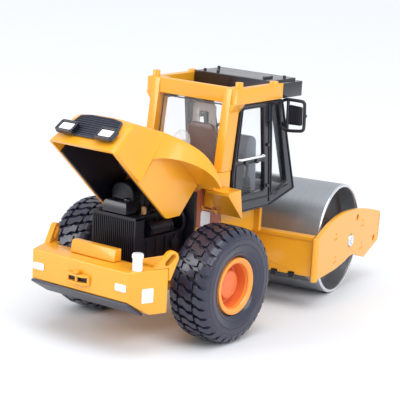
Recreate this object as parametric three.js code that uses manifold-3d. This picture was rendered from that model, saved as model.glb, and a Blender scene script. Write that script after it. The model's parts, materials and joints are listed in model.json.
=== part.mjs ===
// Toy road roller: a single-drum soil compactor at about 1:35, in millimetres.
// +X points forward to the drum, +Y to the driver's left, +Z up, and the ground is z = 0.
// Pieces are drawn from the rear axle forward, with the drum frame straight and the hood shut.
// Nested groups then steer the drum frame and lift the hood to the rest pose.
import * as THREE from 'three';
import { mergeVertices } from 'three/addons/utils/BufferGeometryUtils.js';
import Module from 'manifold-3d';

const wasm = await Module();
wasm.setup();

// ---------------------------------------------------------------- driving dimensions
const FIT = 0.1;                 // running gap of a shaft in its bore
const TOUCH = 0.15;              // gap between pieces that rest on each other
const WHEEL_R = 20.4;
const TYRE_IN = 19.4;            // inner sidewall, from the middle of the vehicle
const TYRE_OUT = 35.6;
const BEAD_R = 10.2;
const AXLE_R = 2.0;
const DRUM_R = 21.4;
const DRUM_HALF = 30.4;
const DRUM_WALL = 1.3;
const PIVOT_X = 40.3;            // steering pin, ahead of the rear axle
const PIN_R = 1.5;
const DRUM_X = 38.3;             // drum axle, ahead of the steering pin
const YOKE_IN = 33.7;
const YOKE_OUT = 35.5;
const BEAM_X = 5.0;              // rear face of the drum frame's rear beam
const STEER_DEG = 10.3;          // rest pose, to the left
const HINGE_X = 8.0;
const HINGE_Z = 58.0;
const HINGE_PIN_R = 0.8;
const HOOD_OPEN_DEG = 42;
const ARCH_R = 29.5;             // wheel arch in the hood, about the rear axle
const HOOD_IN = 12.0;            // inner face of the hood's side walls
const HOOD_WALL = 2.2;
const DECK_Z = 30.2;             // top of the rear bumper
const FRAME_TOP = 27.0;
const CAB_Y = 17.7;              // outer face of the cab's posts
const POST_IN = 14.3;
const BASE_HALF = 11.7;          // half width of the box that the cab stands on
const FLOOR_Z = 39.7;
const CANOPY_Y = 20.0;           // outer face of the canopy's side beams
const CANOPY_LOW = 79.8;
const CANOPY_TOP = 85.3;

// ---------------------------------------------------------------- materials
function paint(color, roughness, metalness = 0, opacity = 1) {
  return new THREE.MeshStandardMaterial({
    color, roughness, metalness, opacity, transparent: opacity < 1,
  });
}
const YELLOW = paint(0xf5b02e, 0.35);
const ORANGE = paint(0xf0862e, 0.4);
const BLACK = paint(0x1a1826, 0.5);
const DARK = paint(0x4a4e5a, 0.5);
const RUBBER = paint(0x30333f, 0.8);
const STEEL = paint(0xa9afb4, 0.4, 0.8);
const WHITE = paint(0xe8e8ec, 0.3);
const GREY = paint(0x8f949c, 0.5);
const SEAT = paint(0x2a2024, 0.7);
const CLEAR = paint(0xe6eef2, 0.05, 0, 0.3);

// ---------------------------------------------------------------- solids and booleans
function toSolid(geometry) {
  const bare = geometry.clone();
  bare.deleteAttribute('normal');
  bare.deleteAttribute('uv');
  const merged = mergeVertices(bare, 1e-4);
  const index = merged.index.array;
  const triangles = [];
  for (let i = 0; i < index.length; i += 3) {
    const [a, b, c] = [index[i], index[i + 1], index[i + 2]];
    if (a !== b && b !== c && c !== a) triangles.push(a, b, c);
  }
  return new wasm.Manifold(new wasm.Mesh({
    numProp: 3,
    vertProperties: new Float32Array(merged.attributes.position.array),
    triVerts: new Uint32Array(triangles),
  }));
}

function toGeometry(solid) {
  const mesh = solid.getMesh();
  const geometry = new THREE.BufferGeometry();
  geometry.setAttribute('position', new THREE.BufferAttribute(mesh.vertProperties, 3));
  geometry.setIndex(new THREE.BufferAttribute(mesh.triVerts, 1));
  geometry.computeVertexNormals();
  return geometry;
}

function join(...pieces) {
  return toGeometry(pieces.map(toSolid).reduce((sum, piece) => sum.add(piece)));
}

function cut(body, ...tools) {
  return toGeometry(tools.map(toSolid).reduce((rest, tool) => rest.subtract(tool), toSolid(body)));
}

function common(a, b) {
  return toGeometry(toSolid(a).intersect(toSolid(b)));
}

// ---------------------------------------------------------------- basic shapes
function block(x0, x1, y0, y1, z0, z1) {
  const shape = new THREE.BoxGeometry(x1 - x0, y1 - y0, z1 - z0);
  return shape.translate((x0 + x1) / 2, (y0 + y1) / 2, (z0 + z1) / 2);
}

function outline(points) {
  return new THREE.Shape(points.map(([a, b]) => new THREE.Vector2(a, b)));
}

function withHoles(shape, holes) {
  for (const [a, b, radius] of holes) {
    shape.holes.push(new THREE.Path().absarc(a, b, radius, 0, 2 * Math.PI, true));
  }
  return shape;
}

function extrude(shape, depth, curveSegments = 8) {
  return new THREE.ExtrudeGeometry(shape, { depth, bevelEnabled: false, curveSegments });
}

// A shape drawn in X and Y, raised from z0 to z1.
function alongZ(shape, z0, z1, curveSegments) {
  return extrude(shape, z1 - z0, curveSegments).translate(0, 0, z0);
}

// A shape drawn in X and Z, from y0 to y1.
function alongY(shape, y0, y1, curveSegments) {
  return extrude(shape, y1 - y0, curveSegments).rotateX(Math.PI / 2).translate(0, y1, 0);
}

// A shape drawn in Y and Z, from x0 to x1.
function alongX(shape, x0, x1, curveSegments) {
  const turn = new THREE.Matrix4().makeBasis(
    new THREE.Vector3(0, 1, 0), new THREE.Vector3(0, 0, 1), new THREE.Vector3(1, 0, 0),
  );
  return extrude(shape, x1 - x0, curveSegments).applyMatrix4(turn).translate(x0, 0, 0);
}

function rodY(radius, y0, y1, x, z, sides = 16) {
  const rod = new THREE.CylinderGeometry(radius, radius, y1 - y0, sides);
  return rod.translate(x, (y0 + y1) / 2, z);
}

function rodZ(radius, z0, z1, x, y, sides = 16) {
  const rod = new THREE.CylinderGeometry(radius, radius, z1 - z0, sides).rotateX(Math.PI / 2);
  return rod.translate(x, y, (z0 + z1) / 2);
}

function rodX(radius, x0, x1, y, z, sides = 16) {
  const rod = new THREE.CylinderGeometry(radius, radius, x1 - x0, sides).rotateZ(Math.PI / 2);
  return rod.translate((x0 + x1) / 2, y, z);
}

// A turned piece about the Y axis through (x, z); its profile is a list of [radius, y].
function turned(profile, x, z, sides) {
  const points = profile.map(([radius, y]) => new THREE.Vector2(radius, y));
  points.push(points[0].clone());
  return new THREE.LatheGeometry(points, sides).translate(x, 0, z);
}

// A bar of round section through a list of points.
function tube(points, radius, sides) {
  const corners = points.map(([x, y, z]) => new THREE.Vector3(x, y, z));
  return corners.slice(1)
    .map((corner, i) => rodBetween(corners[i], corner, radius, sides))
    .concat(corners.slice(1, -1).map((p) => ballAt(p, radius, sides)))
    .reduce((sum, piece) => join(sum, piece));
}

function rodBetween(from, to, radius, sides) {
  const axis = to.clone().sub(from);
  const middle = from.clone().lerp(to, 0.5);
  const rod = new THREE.CylinderGeometry(radius, radius, axis.length(), sides);
  const turn = new THREE.Quaternion().setFromUnitVectors(new THREE.Vector3(0, 1, 0), axis.normalize());
  return rod.applyQuaternion(turn).translate(middle.x, middle.y, middle.z);
}

function ballAt(centre, radius, sides) {
  return new THREE.SphereGeometry(radius, sides, 4).translate(centre.x, centre.y, centre.z);
}

// The other hand of a piece, mirrored in the vehicle's middle plane.
function mirrored(geometry) {
  const copy = geometry.index ? geometry.toNonIndexed() : geometry.clone();
  copy.scale(1, -1, 1);
  const { array } = copy.attributes.position;
  for (let i = 0; i < array.length; i += 9) {
    for (let k = 0; k < 3; k += 1) {
      [array[i + 3 + k], array[i + 6 + k]] = [array[i + 6 + k], array[i + 3 + k]];
    }
  }
  copy.deleteAttribute('normal');
  copy.deleteAttribute('uv');
  return mergeVertices(copy, 1e-5);
}

// A closed skin over a row of cross-sections that all have the same number of points.
function loft(sections) {
  const count = sections[0].length;
  const positions = sections.flat(2);
  const index = [];
  for (let s = 1; s < sections.length; s += 1) {
    for (let i = 0; i < count; i += 1) {
      const j = (i + 1) % count;
      const [a, b] = [(s - 1) * count + i, (s - 1) * count + j];
      index.push(a, a + count, b, b, a + count, b + count);
    }
  }
  const last = (sections.length - 1) * count;
  for (let i = 1; i < count - 1; i += 1) {
    index.push(0, i, i + 1, last, last + i + 1, last + i);
  }
  const geometry = new THREE.BufferGeometry();
  geometry.setAttribute('position', new THREE.Float32BufferAttribute(positions, 3));
  geometry.setIndex(index);
  return geometry;
}

function add(group, name, geometry, material) {
  const mesh = new THREE.Mesh(geometry, material);
  mesh.name = name;
  group.add(mesh);
}

// A piece for each hand: shape() draws the right one, at negative Y.
function addPair(group, name, shape, material) {
  const right = shape();
  add(group, `${name}_right`, right, material);
  add(group, `${name}_left`, mirrored(right), material);
}

// ---------------------------------------------------------------- rear chassis
// A ladder frame between the wheels, with the axle housing and the fork for the steering pin.
function chassisFrame() {
  const lug = (z0, z1) => join(
    block(34, PIVOT_X, -4.5, 4.5, z0, z1),
    rodZ(4.5, z0, z1, PIVOT_X, 0, 24),
  );
  const housing = turned([
    [0, -18.4], [4.4, -18.4], [4.8, -8], [6.4, -5], [6.4, 5], [4.8, 8], [4.4, 18.4], [0, 18.4],
  ], 0, WHEEL_R, 20);
  const body = join(
    block(-31.05, 34.5, -12, 12, 16, FRAME_TOP),
    housing,
    lug(12.5, 16.2),
    lug(24.8, 28.4),
  );
  const axleBore = rodY(AXLE_R + FIT, -20, 20, 0, WHEEL_R, 24);
  const pinBore = rodZ(PIN_R + 0.05, 10, 30, PIVOT_X, 0, 20);
  return cut(body, axleBore, pinBore);
}

// The bumper is a deep casting, undercut below, whose ends splay out from the flat rear face.
const BUMPER_REAR = -42.4;
const BUMPER_FRONT = -31.2;
const CORNER_Y = 21.3;           // half width of the flat rear face
const END = [-28.0, 26.6];       // where a splayed end stops: x, half width
const SPLAY = Math.atan2(END[1] - CORNER_Y, END[0] - BUMPER_REAR);
const END_LENGTH = Math.hypot(END[1] - CORNER_Y, END[0] - BUMPER_REAR);
const UNDERCUT = { rear: [BUMPER_REAR, 20.0], front: [-34.1, 15.0] };

function bumper() {
  const plan = outline([
    [BUMPER_REAR, -CORNER_Y], [END[0], -END[1]], [END[0], -22], [BUMPER_FRONT, -20.5],
    [BUMPER_FRONT, 20.5], [END[0], 22], [END[0], END[1]], [BUMPER_REAR, CORNER_Y],
  ]);
  const slope = (UNDERCUT.front[1] - UNDERCUT.rear[1]) / (UNDERCUT.front[0] - UNDERCUT.rear[0]);
  const tip = [BUMPER_REAR - 3, UNDERCUT.rear[1] - 3 * slope];
  const wedge = outline([tip, UNDERCUT.front, [UNDERCUT.front[0], 10], [tip[0], 10]]);
  return cut(alongZ(plan, UNDERCUT.front[1], DECK_Z), alongY(wedge, -40, 40));
}

function underplate() {
  const [ax, az] = UNDERCUT.rear;
  const [bx, bz] = UNDERCUT.front;
  const length = Math.hypot(bx - ax, bz - az);
  const [nx, nz] = [(bz - az) / length, -(bx - ax) / length];
  const corner = (x, z, depth) => [x + nx * depth, z + nz * depth];
  const section = outline([
    corner(ax, az, TOUCH), corner(bx, bz, TOUCH), corner(bx, bz, 1.1), corner(ax, az, 1.1),
  ]);
  return alongY(section, -CORNER_Y, CORNER_Y);
}

function hoodRest() {
  const section = outline([
    [-36.4, DECK_Z + TOUCH], [-32.6, DECK_Z + TOUCH], [-32.6, 34.6], [-35.4, 34.6],
  ]);
  return alongY(section, -9.8, 9.8);
}

function towHook() {
  const [root, tip] = [BUMPER_REAR - TOUCH, BUMPER_REAR - 2];
  const jaw = outline([[root, -5.2], [root, 5.2], [tip, 2.6], [tip, -2.6]]);
  return join(
    block(root - 0.55, root, -5.2, 5.2, 22.2, 26.6),
    alongZ(jaw, 22.6, 23.5),
    alongZ(jaw, 25.2, 26.1),
    rodZ(0.6, 22, 27, BUMPER_REAR - 1.3, 0, 10),
  );
}

// A slotted lifting lug that carries a splayed end upwards and leans forward. It is drawn from the end's rear
// corner, with x along the end.
function liftingEar() {
  const [tipX, tipZ, tipR] = [16.6, 33.4, 2.6];
  const side = new THREE.Shape();
  side.moveTo(9.8, DECK_Z + TOUCH);
  side.lineTo(END_LENGTH + TOUCH, DECK_Z + TOUCH);
  side.lineTo(END_LENGTH + TOUCH, 26);
  side.lineTo(16.3, 26);
  side.absarc(tipX, tipZ, tipR, -0.35, 2.2, false);
  const slot = new THREE.Path();
  slot.absarc(tipX + 0.4, tipZ + 0.5, 0.85, -0.8, 2.35, false);
  slot.absarc(tipX - 1.7, tipZ - 1.5, 0.85, 2.35, 5.5, false);
  side.holes.push(slot);
  return alongY(side, 0.1, 2.1).rotateZ(-SPLAY).translate(BUMPER_REAR, -CORNER_Y, 0);
}

// The web that steadies the right lug.
function earWeb() {
  const web = outline([[-25.6, DECK_Z + TOUCH], [-16, DECK_Z + TOUCH], [-16, 31.8], [-25.6, 34.8]]);
  return alongX(web, -29.8, -28.8);
}

function markerLamp() {
  const profile = [[0, 0], [1.9, 0], [1.7, 1.2], [1.75, 4.2], [2.0, 4.6], [2.0, 5.2], [1.5, 5.7], [0, 5.8]];
  return turned(profile, 0, 0, 20).rotateX(Math.PI / 2).translate(-37.6, -20.9, DECK_Z + TOUCH);
}

function reflector() {
  return block(BUMPER_REAR - 0.5, BUMPER_REAR - TOUCH, -20.6, -15.8, 23.4, 25.9);
}

// ---------------------------------------------------------------- engine bay
function radiator() {
  const [rear, front, half, pitch, ribs] = [-25.5, -20.8, 9.6, 1.2, 16];
  const points = [[front, -half], [front, half]];
  for (let i = 0; i < ribs; i += 1) {
    const y = half - i * pitch;
    points.push([rear, y], [rear, y - 0.6 * pitch], [rear + 0.6, y - 0.6 * pitch], [rear + 0.6, y - pitch]);
  }
  points.pop();
  points.pop();
  return join(
    alongZ(outline(points), FRAME_TOP + TOUCH, 42.9),
    block(rear - 0.2, front, -half, half, 42.6, 43.7),
    block(rear - 0.2, front, -half, half, FRAME_TOP + TOUCH, FRAME_TOP + 1.2),
  );
}

function radiatorTank() {
  const side = outline([[-25.2, 43.7 + TOUCH], [-19.4, 43.7 + TOUCH], [-19.4, 48.1], [-24.4, 48.1]]);
  return join(alongY(side, -4.6, 5.6), rodZ(1.3, 48, 49, -21.6, -2.4, 12));
}

function engineBlock() {
  const airBox = outline([
    [0.6, 40], [11.2, 40], [11.2, 48.6], [10.2, 51], [7.6, 52.4], [4, 52.2], [1.6, 50.6], [0.6, 48],
  ]);
  return join(
    block(-19.9, 2.2, -8.6, 8.6, FRAME_TOP + TOUCH, 35.5),
    block(-17.5, -1.5, -5.2, 5.2, 35, 42.5),
    alongX(airBox, -14.5, 1.6),
    rodX(2.6, -16, -4, -6.6, 37.9, 14),
    rodX(1.9, -15, -6, 6.2, 37.2, 14),
  );
}

function firewall() {
  return block(4.1, 5.15, -BASE_HALF, BASE_HALF, FRAME_TOP + TOUCH, 49);
}

// ---------------------------------------------------------------- cab
const RISER_X = 6.8;
const RISER_Z = 50;
const SILL_Z = 56;
const WEDGE_REAR = 6.4;
const WEDGE_FRONT = 13.6;

// The cab stands on a box that the hood's side walls close around. A riser at its rear carries the posts
// and hinge lugs, and a bulkhead at its front the apron that follows the rising floor.
function cabBase() {
  const hingeLug = (y0, y1) => join(
    block(RISER_X, HINGE_X + 1.6, y0, y1, SILL_Z - 1, HINGE_Z),
    rodY(1.6, y0, y1, HINGE_X, HINGE_Z, 16),
  );
  const apron = outline([[41, 37.4], [43.4, 38.6], [50.6, 40.8], [51.6, 42.3], [41.4, FLOOR_Z - TOUCH]]);
  const box = (x0, x1, z0, z1) => block(x0, x1, -BASE_HALF, BASE_HALF, z0, z1);
  const shell = join(
    box(5.3, 33, FRAME_TOP + TOUCH, 30),
    box(5.3, 41.2, 29.6, FLOOR_Z - TOUCH),
    box(5.3, 16.2, 35, 48),
    box(RISER_X, 16.2, 47, RISER_Z + 1),
    block(RISER_X, 16.2, -CAB_Y, CAB_Y, RISER_Z, SILL_Z),
    block(40.9, 42.4, -POST_IN, POST_IN, 29.6, FLOOR_Z - TOUCH),
    alongY(apron, -POST_IN, POST_IN),
    hingeLug(-13, -11.4),
    hingeLug(11.4, 13),
  );
  return cut(shell, rodY(HINGE_PIN_R + 0.05, -20, 20, HINGE_X, HINGE_Z, 16));
}

// The wedge that carries the wheel arch on from the hood to the door. Behind its root the hood's side wall
// passes when it shuts.
function fenderWedge() {
  const top = RISER_Z - TOUCH;
  const low = outline([
    [WEDGE_REAR, 49.2], [14.6, 40.3], [15.3, 40.3], [WEDGE_FRONT, top], [WEDGE_REAR, top],
  ]);
  const high = outline([
    [WEDGE_REAR, 49.2], [WEDGE_FRONT + 0.1, 49.2], [WEDGE_FRONT, 50.7], [WEDGE_REAR, 50.3],
  ]);
  return join(
    alongY(low, -24.5, -14.6 - TOUCH),
    alongY(high, -24.5, -CAB_Y - TOUCH),
    block(9.4, WEDGE_FRONT, -15, -BASE_HALF - TOUCH, 43.2, top),
  );
}

// The protective frame: two leaning posts, a rear beam and two side beams, with pegs on top.
const POST_FOOT = 10.4;
const POST_HEAD = 14.2;
const POST_DEPTH = 6;

function ropsFrame() {
  const post = () => alongY(outline([
    [POST_FOOT, SILL_Z + TOUCH], [POST_FOOT + POST_DEPTH, SILL_Z + TOUCH],
    [POST_HEAD + POST_DEPTH, CANOPY_TOP], [POST_HEAD, CANOPY_TOP],
  ]), -CAB_Y, -POST_IN);
  const sideBeam = () => block(POST_HEAD, 42.6, -CANOPY_Y, -17.1, CANOPY_LOW, CANOPY_TOP);
  const gusset = () => alongX(outline([
    [-CANOPY_Y, CANOPY_LOW + 0.1], [-CAB_Y + 0.2, 76.6], [-CAB_Y + 0.2, CANOPY_LOW + 0.1],
  ]), 13.6, 19.6);
  const peg = (x, radius, top) => rodZ(radius, CANOPY_TOP - 1, top, x, -18.5, 14);
  const oneSide = () => [post(), sideBeam(), gusset(), peg(17.3, 1.4, 87.4), peg(38.6, 1.6, 86.2)];
  const rearBeam = block(POST_HEAD, POST_HEAD + 3.4, -CANOPY_Y, CANOPY_Y, CANOPY_LOW + 0.4, CANOPY_TOP);
  return join(rearBeam, ...oneSide(), ...oneSide().map(mirrored));
}

function cabFloor() {
  const side = outline([
    [18.2, FLOOR_Z], [41, FLOOR_Z], [57, 44.2], [56.4, 45.8], [40.6, 41.3], [18.2, 41.3],
  ]);
  const seatBox = alongY(outline([[20.5, 41], [33, 41], [32, 49.4], [21.5, 49.4]]), -6.2, 6.2);
  return join(alongY(side, -15.6, 15.6), seatBox);
}

const DOOR_OUTLINE = [
  [20.1, 79], [17.4, 55.3], [17.4, 50], [18.4, FLOOR_Z], [40.9, FLOOR_Z], [57.4, 44.2], [46.1, 79],
];

function doorFrame() {
  const rearLight = [[21.8, 77], [33.8, 77], [36.1, 59], [19.9, 59]];
  const lowLight = [[19.7, 57.4], [36.3, 57.4], [37.7, 46], [19.6, 46]];
  const frontLight = [[39.4, 77.2], [43.6, 77.2], [51.0, 47.6], [44.8, 43.8], [42.6, 44.8]];
  const panel = outline(DOOR_OUTLINE);
  for (const light of [rearLight, lowLight, frontLight]) {
    panel.holes.push(outline(light));
  }
  return alongY(panel, -CAB_Y - 0.1, -16.3);
}

function doorGlass() {
  const pane = outline([[20.6, 78], [18.6, 55], [18.8, 45], [43, 43], [52.4, 46.6], [44.6, 78]]);
  return alongY(pane, -16.3 + TOUCH, -15.8);
}

// The windscreen leans back as it rises; its frame joins the two door frames.
const SCREEN_FOOT = [56.0, 46.2];
const SCREEN_HEAD = [45.4, 78.6];

function screenPlate(inset, thickness, half) {
  const [fx, fz] = SCREEN_FOOT;
  const [hx, hz] = SCREEN_HEAD;
  const length = Math.hypot(hx - fx, hz - fz);
  const [ux, uz] = [(hx - fx) / length, (hz - fz) / length];
  const at = (along, back) => [fx + ux * along - uz * back, fz + uz * along + ux * back];
  return alongY(outline([
    at(inset, 0), at(length - inset, 0), at(length - inset, thickness), at(inset, thickness),
  ]), -half, half);
}

function screenFrame() {
  return cut(screenPlate(0, 1.6, 15.7), screenPlate(2.2, 1.9, 13.6).translate(0.1, 0, 0));
}

function screenGlass() {
  return screenPlate(2.5, 0.8, 13.45).translate(-0.4, 0, 0);
}

function rearGlass() {
  const lean = (POST_HEAD - POST_FOOT) / (CANOPY_TOP - SILL_Z);
  const [z0, z1] = [SILL_Z + 0.3, CANOPY_LOW + 0.1];
  const x0 = POST_FOOT + 2 + lean * (z0 - SILL_Z);
  const x1 = POST_FOOT + 2 + lean * (z1 - SILL_Z);
  const half = POST_IN - TOUCH;
  return alongY(outline([[x0, z0], [x0 + 0.7, z0], [x1 + 0.7, z1], [x1, z1]]), -half, half);
}

// The roof: a low plate between the side beams, and a deep box over the front of the cab.
function roofBox() {
  const rivet = (x, y) => rodZ(0.6, 85.5, 86.9, x, y, 10);
  return join(
    block(17.8, 24, -14.1, 14.1, CANOPY_LOW - 0.4, CANOPY_LOW + 0.6),
    block(20.6, 46, -16.9, 16.9, CANOPY_LOW - 0.4, CANOPY_LOW + 0.6),
    block(38, 55, -16.9, 16.9, CANOPY_LOW, 86.0),
    block(42.9, 55, -CANOPY_Y, CANOPY_Y, CANOPY_LOW, 85.2),
    rivet(40.5, 14), rivet(40.5, 8), rivet(40.5, -13), rivet(50.5, -15), rivet(50.5, 15),
    block(42, 46.5, -12.6, -11.2, 85.5, 86.8),
  );
}

// A mirror in a guard of round bar, hung from the windscreen post.
function mirror() {
  const [x, y0, y1, z0, z1] = [46.6, -19.6, -25.9, 67.6, 79.0];
  const out = 1.9;
  const loop = tube([
    [x, -18.2, z1 - 0.6], [x + 0.4, y0, z1], [x + out, y1, z1 - 0.4], [x + out, y1 - 0.4, z0 + 0.6],
    [x + 0.4, y0 - 0.4, z0], [x, -18.2, z0 + 1],
  ], 0.6, 6);
  const bar = tube([[x + 0.4, y0 - 0.2, z1], [x + 0.4, y0 - 0.4, z0]], 0.6, 6);
  const face = block(x + 0.9, x + 1.9, y1 + 0.3, y0 + 0.1, z0 + 2.2, z1 - 2);
  return join(loop, bar, face);
}

function seatCushion() {
  return block(21.6, 33.6, -6.6, 6.6, 49.4 + TOUCH, 52.6);
}

function seatBack() {
  const side = outline([[22.4, 52.8], [24.8, 52.8], [22.8, 69.0], [21.9, 70.2], [20.6, 70], [20.2, 68]]);
  return join(alongY(side, -6.9, 6.9), headrest());
}

// The headrest is an open loop of moulded plastic above the backrest.
function headrest() {
  const loop = outline([[-5.2, 69], [5.2, 69], [4.9, 77.4], [-4.9, 77.4]]);
  loop.holes.push(outline([[-2.2, 70.8], [2.2, 70.8], [2.1, 74.4], [-2.1, 74.4]]));
  return alongX(loop, 20.7, 22);
}

function steeringWheel() {
  const rim = new THREE.TorusGeometry(4.6, 0.55, 6, 16);
  const hub = new THREE.CylinderGeometry(1.2, 1.2, 1, 12).rotateX(Math.PI / 2);
  const spoke = (turn) => new THREE.BoxGeometry(9, 0.8, 0.6).rotateZ(turn);
  const column = rodZ(0.7, -5.7, -0.1, 0, 0, 10);
  const wheel = join(rim, hub, spoke(0), spoke(2.1), spoke(-2.1), column);
  return wheel.rotateY(-0.7).translate(34.0, 0, 65.5);
}

// The console carries the steering column, with a ribbed boot for the travel lever beside it.
function controlConsole() {
  const side = new THREE.Shape();
  side.moveTo(39.4, 41.5);
  side.lineTo(46.5, 43.4);
  side.lineTo(45.4, 60);
  side.absarc(42.2, 61, 3.2, 0, 2.6, false);
  side.lineTo(38, 55);
  return alongY(side, -8, 8);
}

function leverBoot() {
  const profile = [[0, 41.8]];
  for (let i = 0; i < 6; i += 1) {
    profile.push([2.1, 42.4 + i * 1.3], [1.5, 43.05 + i * 1.3]);
  }
  profile.push([0.6, 50.4], [0.5, 55], [1.1, 56], [0, 57.2]);
  return turned(profile, 0, 0, 8).rotateX(Math.PI / 2).translate(36.4, -10.6, 0);
}

function handrail() {
  const [foot, out, z] = [-CAB_Y - 0.35, -CAB_Y - 1.2, 59.4];
  return tube([[20.4, foot, z], [20.4, out, z], [35.2, out, z], [35.2, foot, z]], 0.5, 8);
}

// The engine's air pre-cleaner: a bowl on a stem, between the hood's hinge and the cab.
function precleaner() {
  const profile = [[0, 0], [1.2, 0], [1.2, 5], [2.4, 5.8], [3.1, 7.8], [3.0, 10], [2.1, 11.9], [0, 12.8]];
  return turned(profile, 0, 0, 16).rotateX(Math.PI / 2).translate(10.2, 0, SILL_Z + TOUCH);
}

// ---------------------------------------------------------------- hood, drawn shut
// Each station: x, half width at the bottom, half width at the shoulder, shoulder height, ridge height.
const HOOD_STATIONS = [
  [-40.0, 14.3, 12.4, 44.2, 45.6],
  [-32.7, 14.4, 12.8, 47.4, 48.6],
  [-23.8, 14.7, 13.6, 50.8, 51.9],
  [-17.8, 16.4, 15.4, 52.8, 53.9],
  [-12.9, 19.2, 18.2, 54.1, 55.4],
  [-7.3, 22.4, 21.4, 54.6, 56.7],
  [-3.2, 24.0, 23.2, 54.0, 57.5],
  [0.7, 24.9, 24.4, 52.8, 58.0],
  [6.1, 25.2, 24.9, 50.6, 58.3],
];
const HOOD_LOW = 31.8;
const REAR_FOOT = [-38.5, HOOD_LOW];
const REAR_HEAD = [-34.6, 46.6];

function hoodSection([x, foot, shoulder, shoulderZ, ridgeZ]) {
  const half = [
    [foot, HOOD_LOW], [shoulder + 0.35, shoulderZ - 2.2], [shoulder, shoulderZ],
    [Math.min(shoulder - 1.6, 11.6), ridgeZ - 0.9], [5, ridgeZ - 0.15], [0, ridgeZ],
  ];
  const otherHalf = half.slice(0, -1).reverse().map(([y, z]) => [-y, z]);
  return half.concat(otherHalf).map(([y, z]) => [x, -y, z]);
}

// The side walls of the bay run on ahead of the skin, past the box that the cab stands on.
function hoodShell() {
  const outside = HOOD_IN + HOOD_WALL;
  const skin = loft(HOOD_STATIONS.map(hoodSection));
  const room = loft(HOOD_STATIONS.map(bayOutline));
  const bay = cut(room, rearSlab(0, 1.3), block(4.8, 12, -20, 20, 20, 70));
  const arch = common(
    rodY(ARCH_R, -40, 40, 0, WHEEL_R, 72),
    block(-21, 40, -40, 40, 0, 70),
  );
  const archRight = common(arch, block(-60, 60, -40, -outside, 0, 70));
  const wallEnd = alongY(outline([[4.6, 33], [6.6, 36.3], [7.1, 49.3], [4.6, 49.3]]), -outside, -HOOD_IN);
  const wallCorner = alongY(outline([
    [1.2, 30], [12, 30], [12, 41.2], [6.6, 36.3], [1.2, HOOD_LOW - 0.4],
  ]), -40, 40);
  const belowFront = block(3.6, 12, -HOOD_IN, HOOD_IN, 20, 53.5);
  const frontGap = block(5.9, 12, -30, 30, 56.2, 70);
  const shell = cut(skin, rearSlab(-8, 0), bay, belowFront, frontGap, archRight, mirrored(archRight));
  return cut(
    join(shell, wallEnd, mirrored(wallEnd), hingeKnuckle(-10.8, -5), hingeKnuckle(5, 10.8)),
    wallCorner,
  );
}

// The space under the hood's skin at one station.
function bayOutline([x, , , shoulderZ, ridgeZ]) {
  const low = Math.min(shoulderZ, ridgeZ - 1.6) - 1.3;
  const foot = HOOD_LOW - 3;
  return [
    [HOOD_IN, foot], [HOOD_IN, low], [9, ridgeZ - 2], [0, ridgeZ - 1.5],
    [-9, ridgeZ - 2], [-HOOD_IN, low], [-HOOD_IN, foot],
  ].map(([y, z]) => [x + 1.4, -y, z]);
}

function hingeKnuckle(y0, y1) {
  const ring = rodY(1.6, y0, y1, HINGE_X, HINGE_Z, 16);
  const arm = block(5, HINGE_X, y0, y1, HINGE_Z - 1.6, HINGE_Z - 0.2);
  return cut(join(ring, arm), rodY(HINGE_PIN_R + FIT, y0 - 1, y1 + 1, HINGE_X, HINGE_Z, 16));
}

// A slab parallel to the hood's rear face, from depth d0 to d1 ahead of it.
function rearSlab(d0, d1) {
  const [fx, fz] = REAR_FOOT;
  const [hx, hz] = REAR_HEAD;
  const length = Math.hypot(hx - fx, hz - fz);
  const [ux, uz] = [(hx - fx) / length, (hz - fz) / length];
  const at = (along, ahead) => [fx + ux * along + uz * ahead, fz + uz * along - ux * ahead];
  return alongY(outline([at(-12, d0), at(-12, d1), at(30, d1), at(30, d0)]), -40, 40);
}

// Pieces on the rear face are drawn with x = 0 on the face, -x outward and z up the face.
function onRearFace(geometry) {
  const lean = Math.atan2(REAR_HEAD[0] - REAR_FOOT[0], REAR_HEAD[1] - REAR_FOOT[1]);
  return geometry.rotateY(lean).translate(REAR_FOOT[0], 0, REAR_FOOT[1]);
}

function grille() {
  const [low, high, lowHalf, highHalf, slats] = [3.2, 14.2, 11.6, 10.2, 7];
  const face = outline([[-lowHalf, low], [lowHalf, low], [highHalf, high], [-highHalf, high]]);
  const plate = alongX(face, -0.7, -0.3);
  const slat = (i) => {
    const z = low + 0.6 + (i * (high - low - 1.2)) / (slats - 1);
    const half = lowHalf + ((highHalf - lowHalf) * (z - low)) / (high - low) - 0.3;
    return alongY(outline([[-0.6, z - 0.5], [-1.2, z - 0.4], [-0.6, z + 0.5]]), -half, half);
  };
  return onRearFace(join(plate, ...Array.from({ length: slats }, (_, i) => slat(i))));
}

const LAMP_Y = 8.5;
const LAMP_Z = 4.8;

function headlightHousing() {
  const body = block(-2.9, -1.35, -LAMP_Y - 3.8, -LAMP_Y + 3.8, LAMP_Z - 2.6, LAMP_Z + 2.6);
  const recess = block(-3.5, -2.2, -LAMP_Y - 3.1, -LAMP_Y + 3.1, LAMP_Z - 1.9, LAMP_Z + 1.9);
  return onRearFace(cut(body, recess));
}

function headlightLens() {
  return onRearFace(block(-2.7, -2.3, -LAMP_Y - 2.9, -LAMP_Y + 2.9, LAMP_Z - 1.7, LAMP_Z + 1.7));
}

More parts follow.
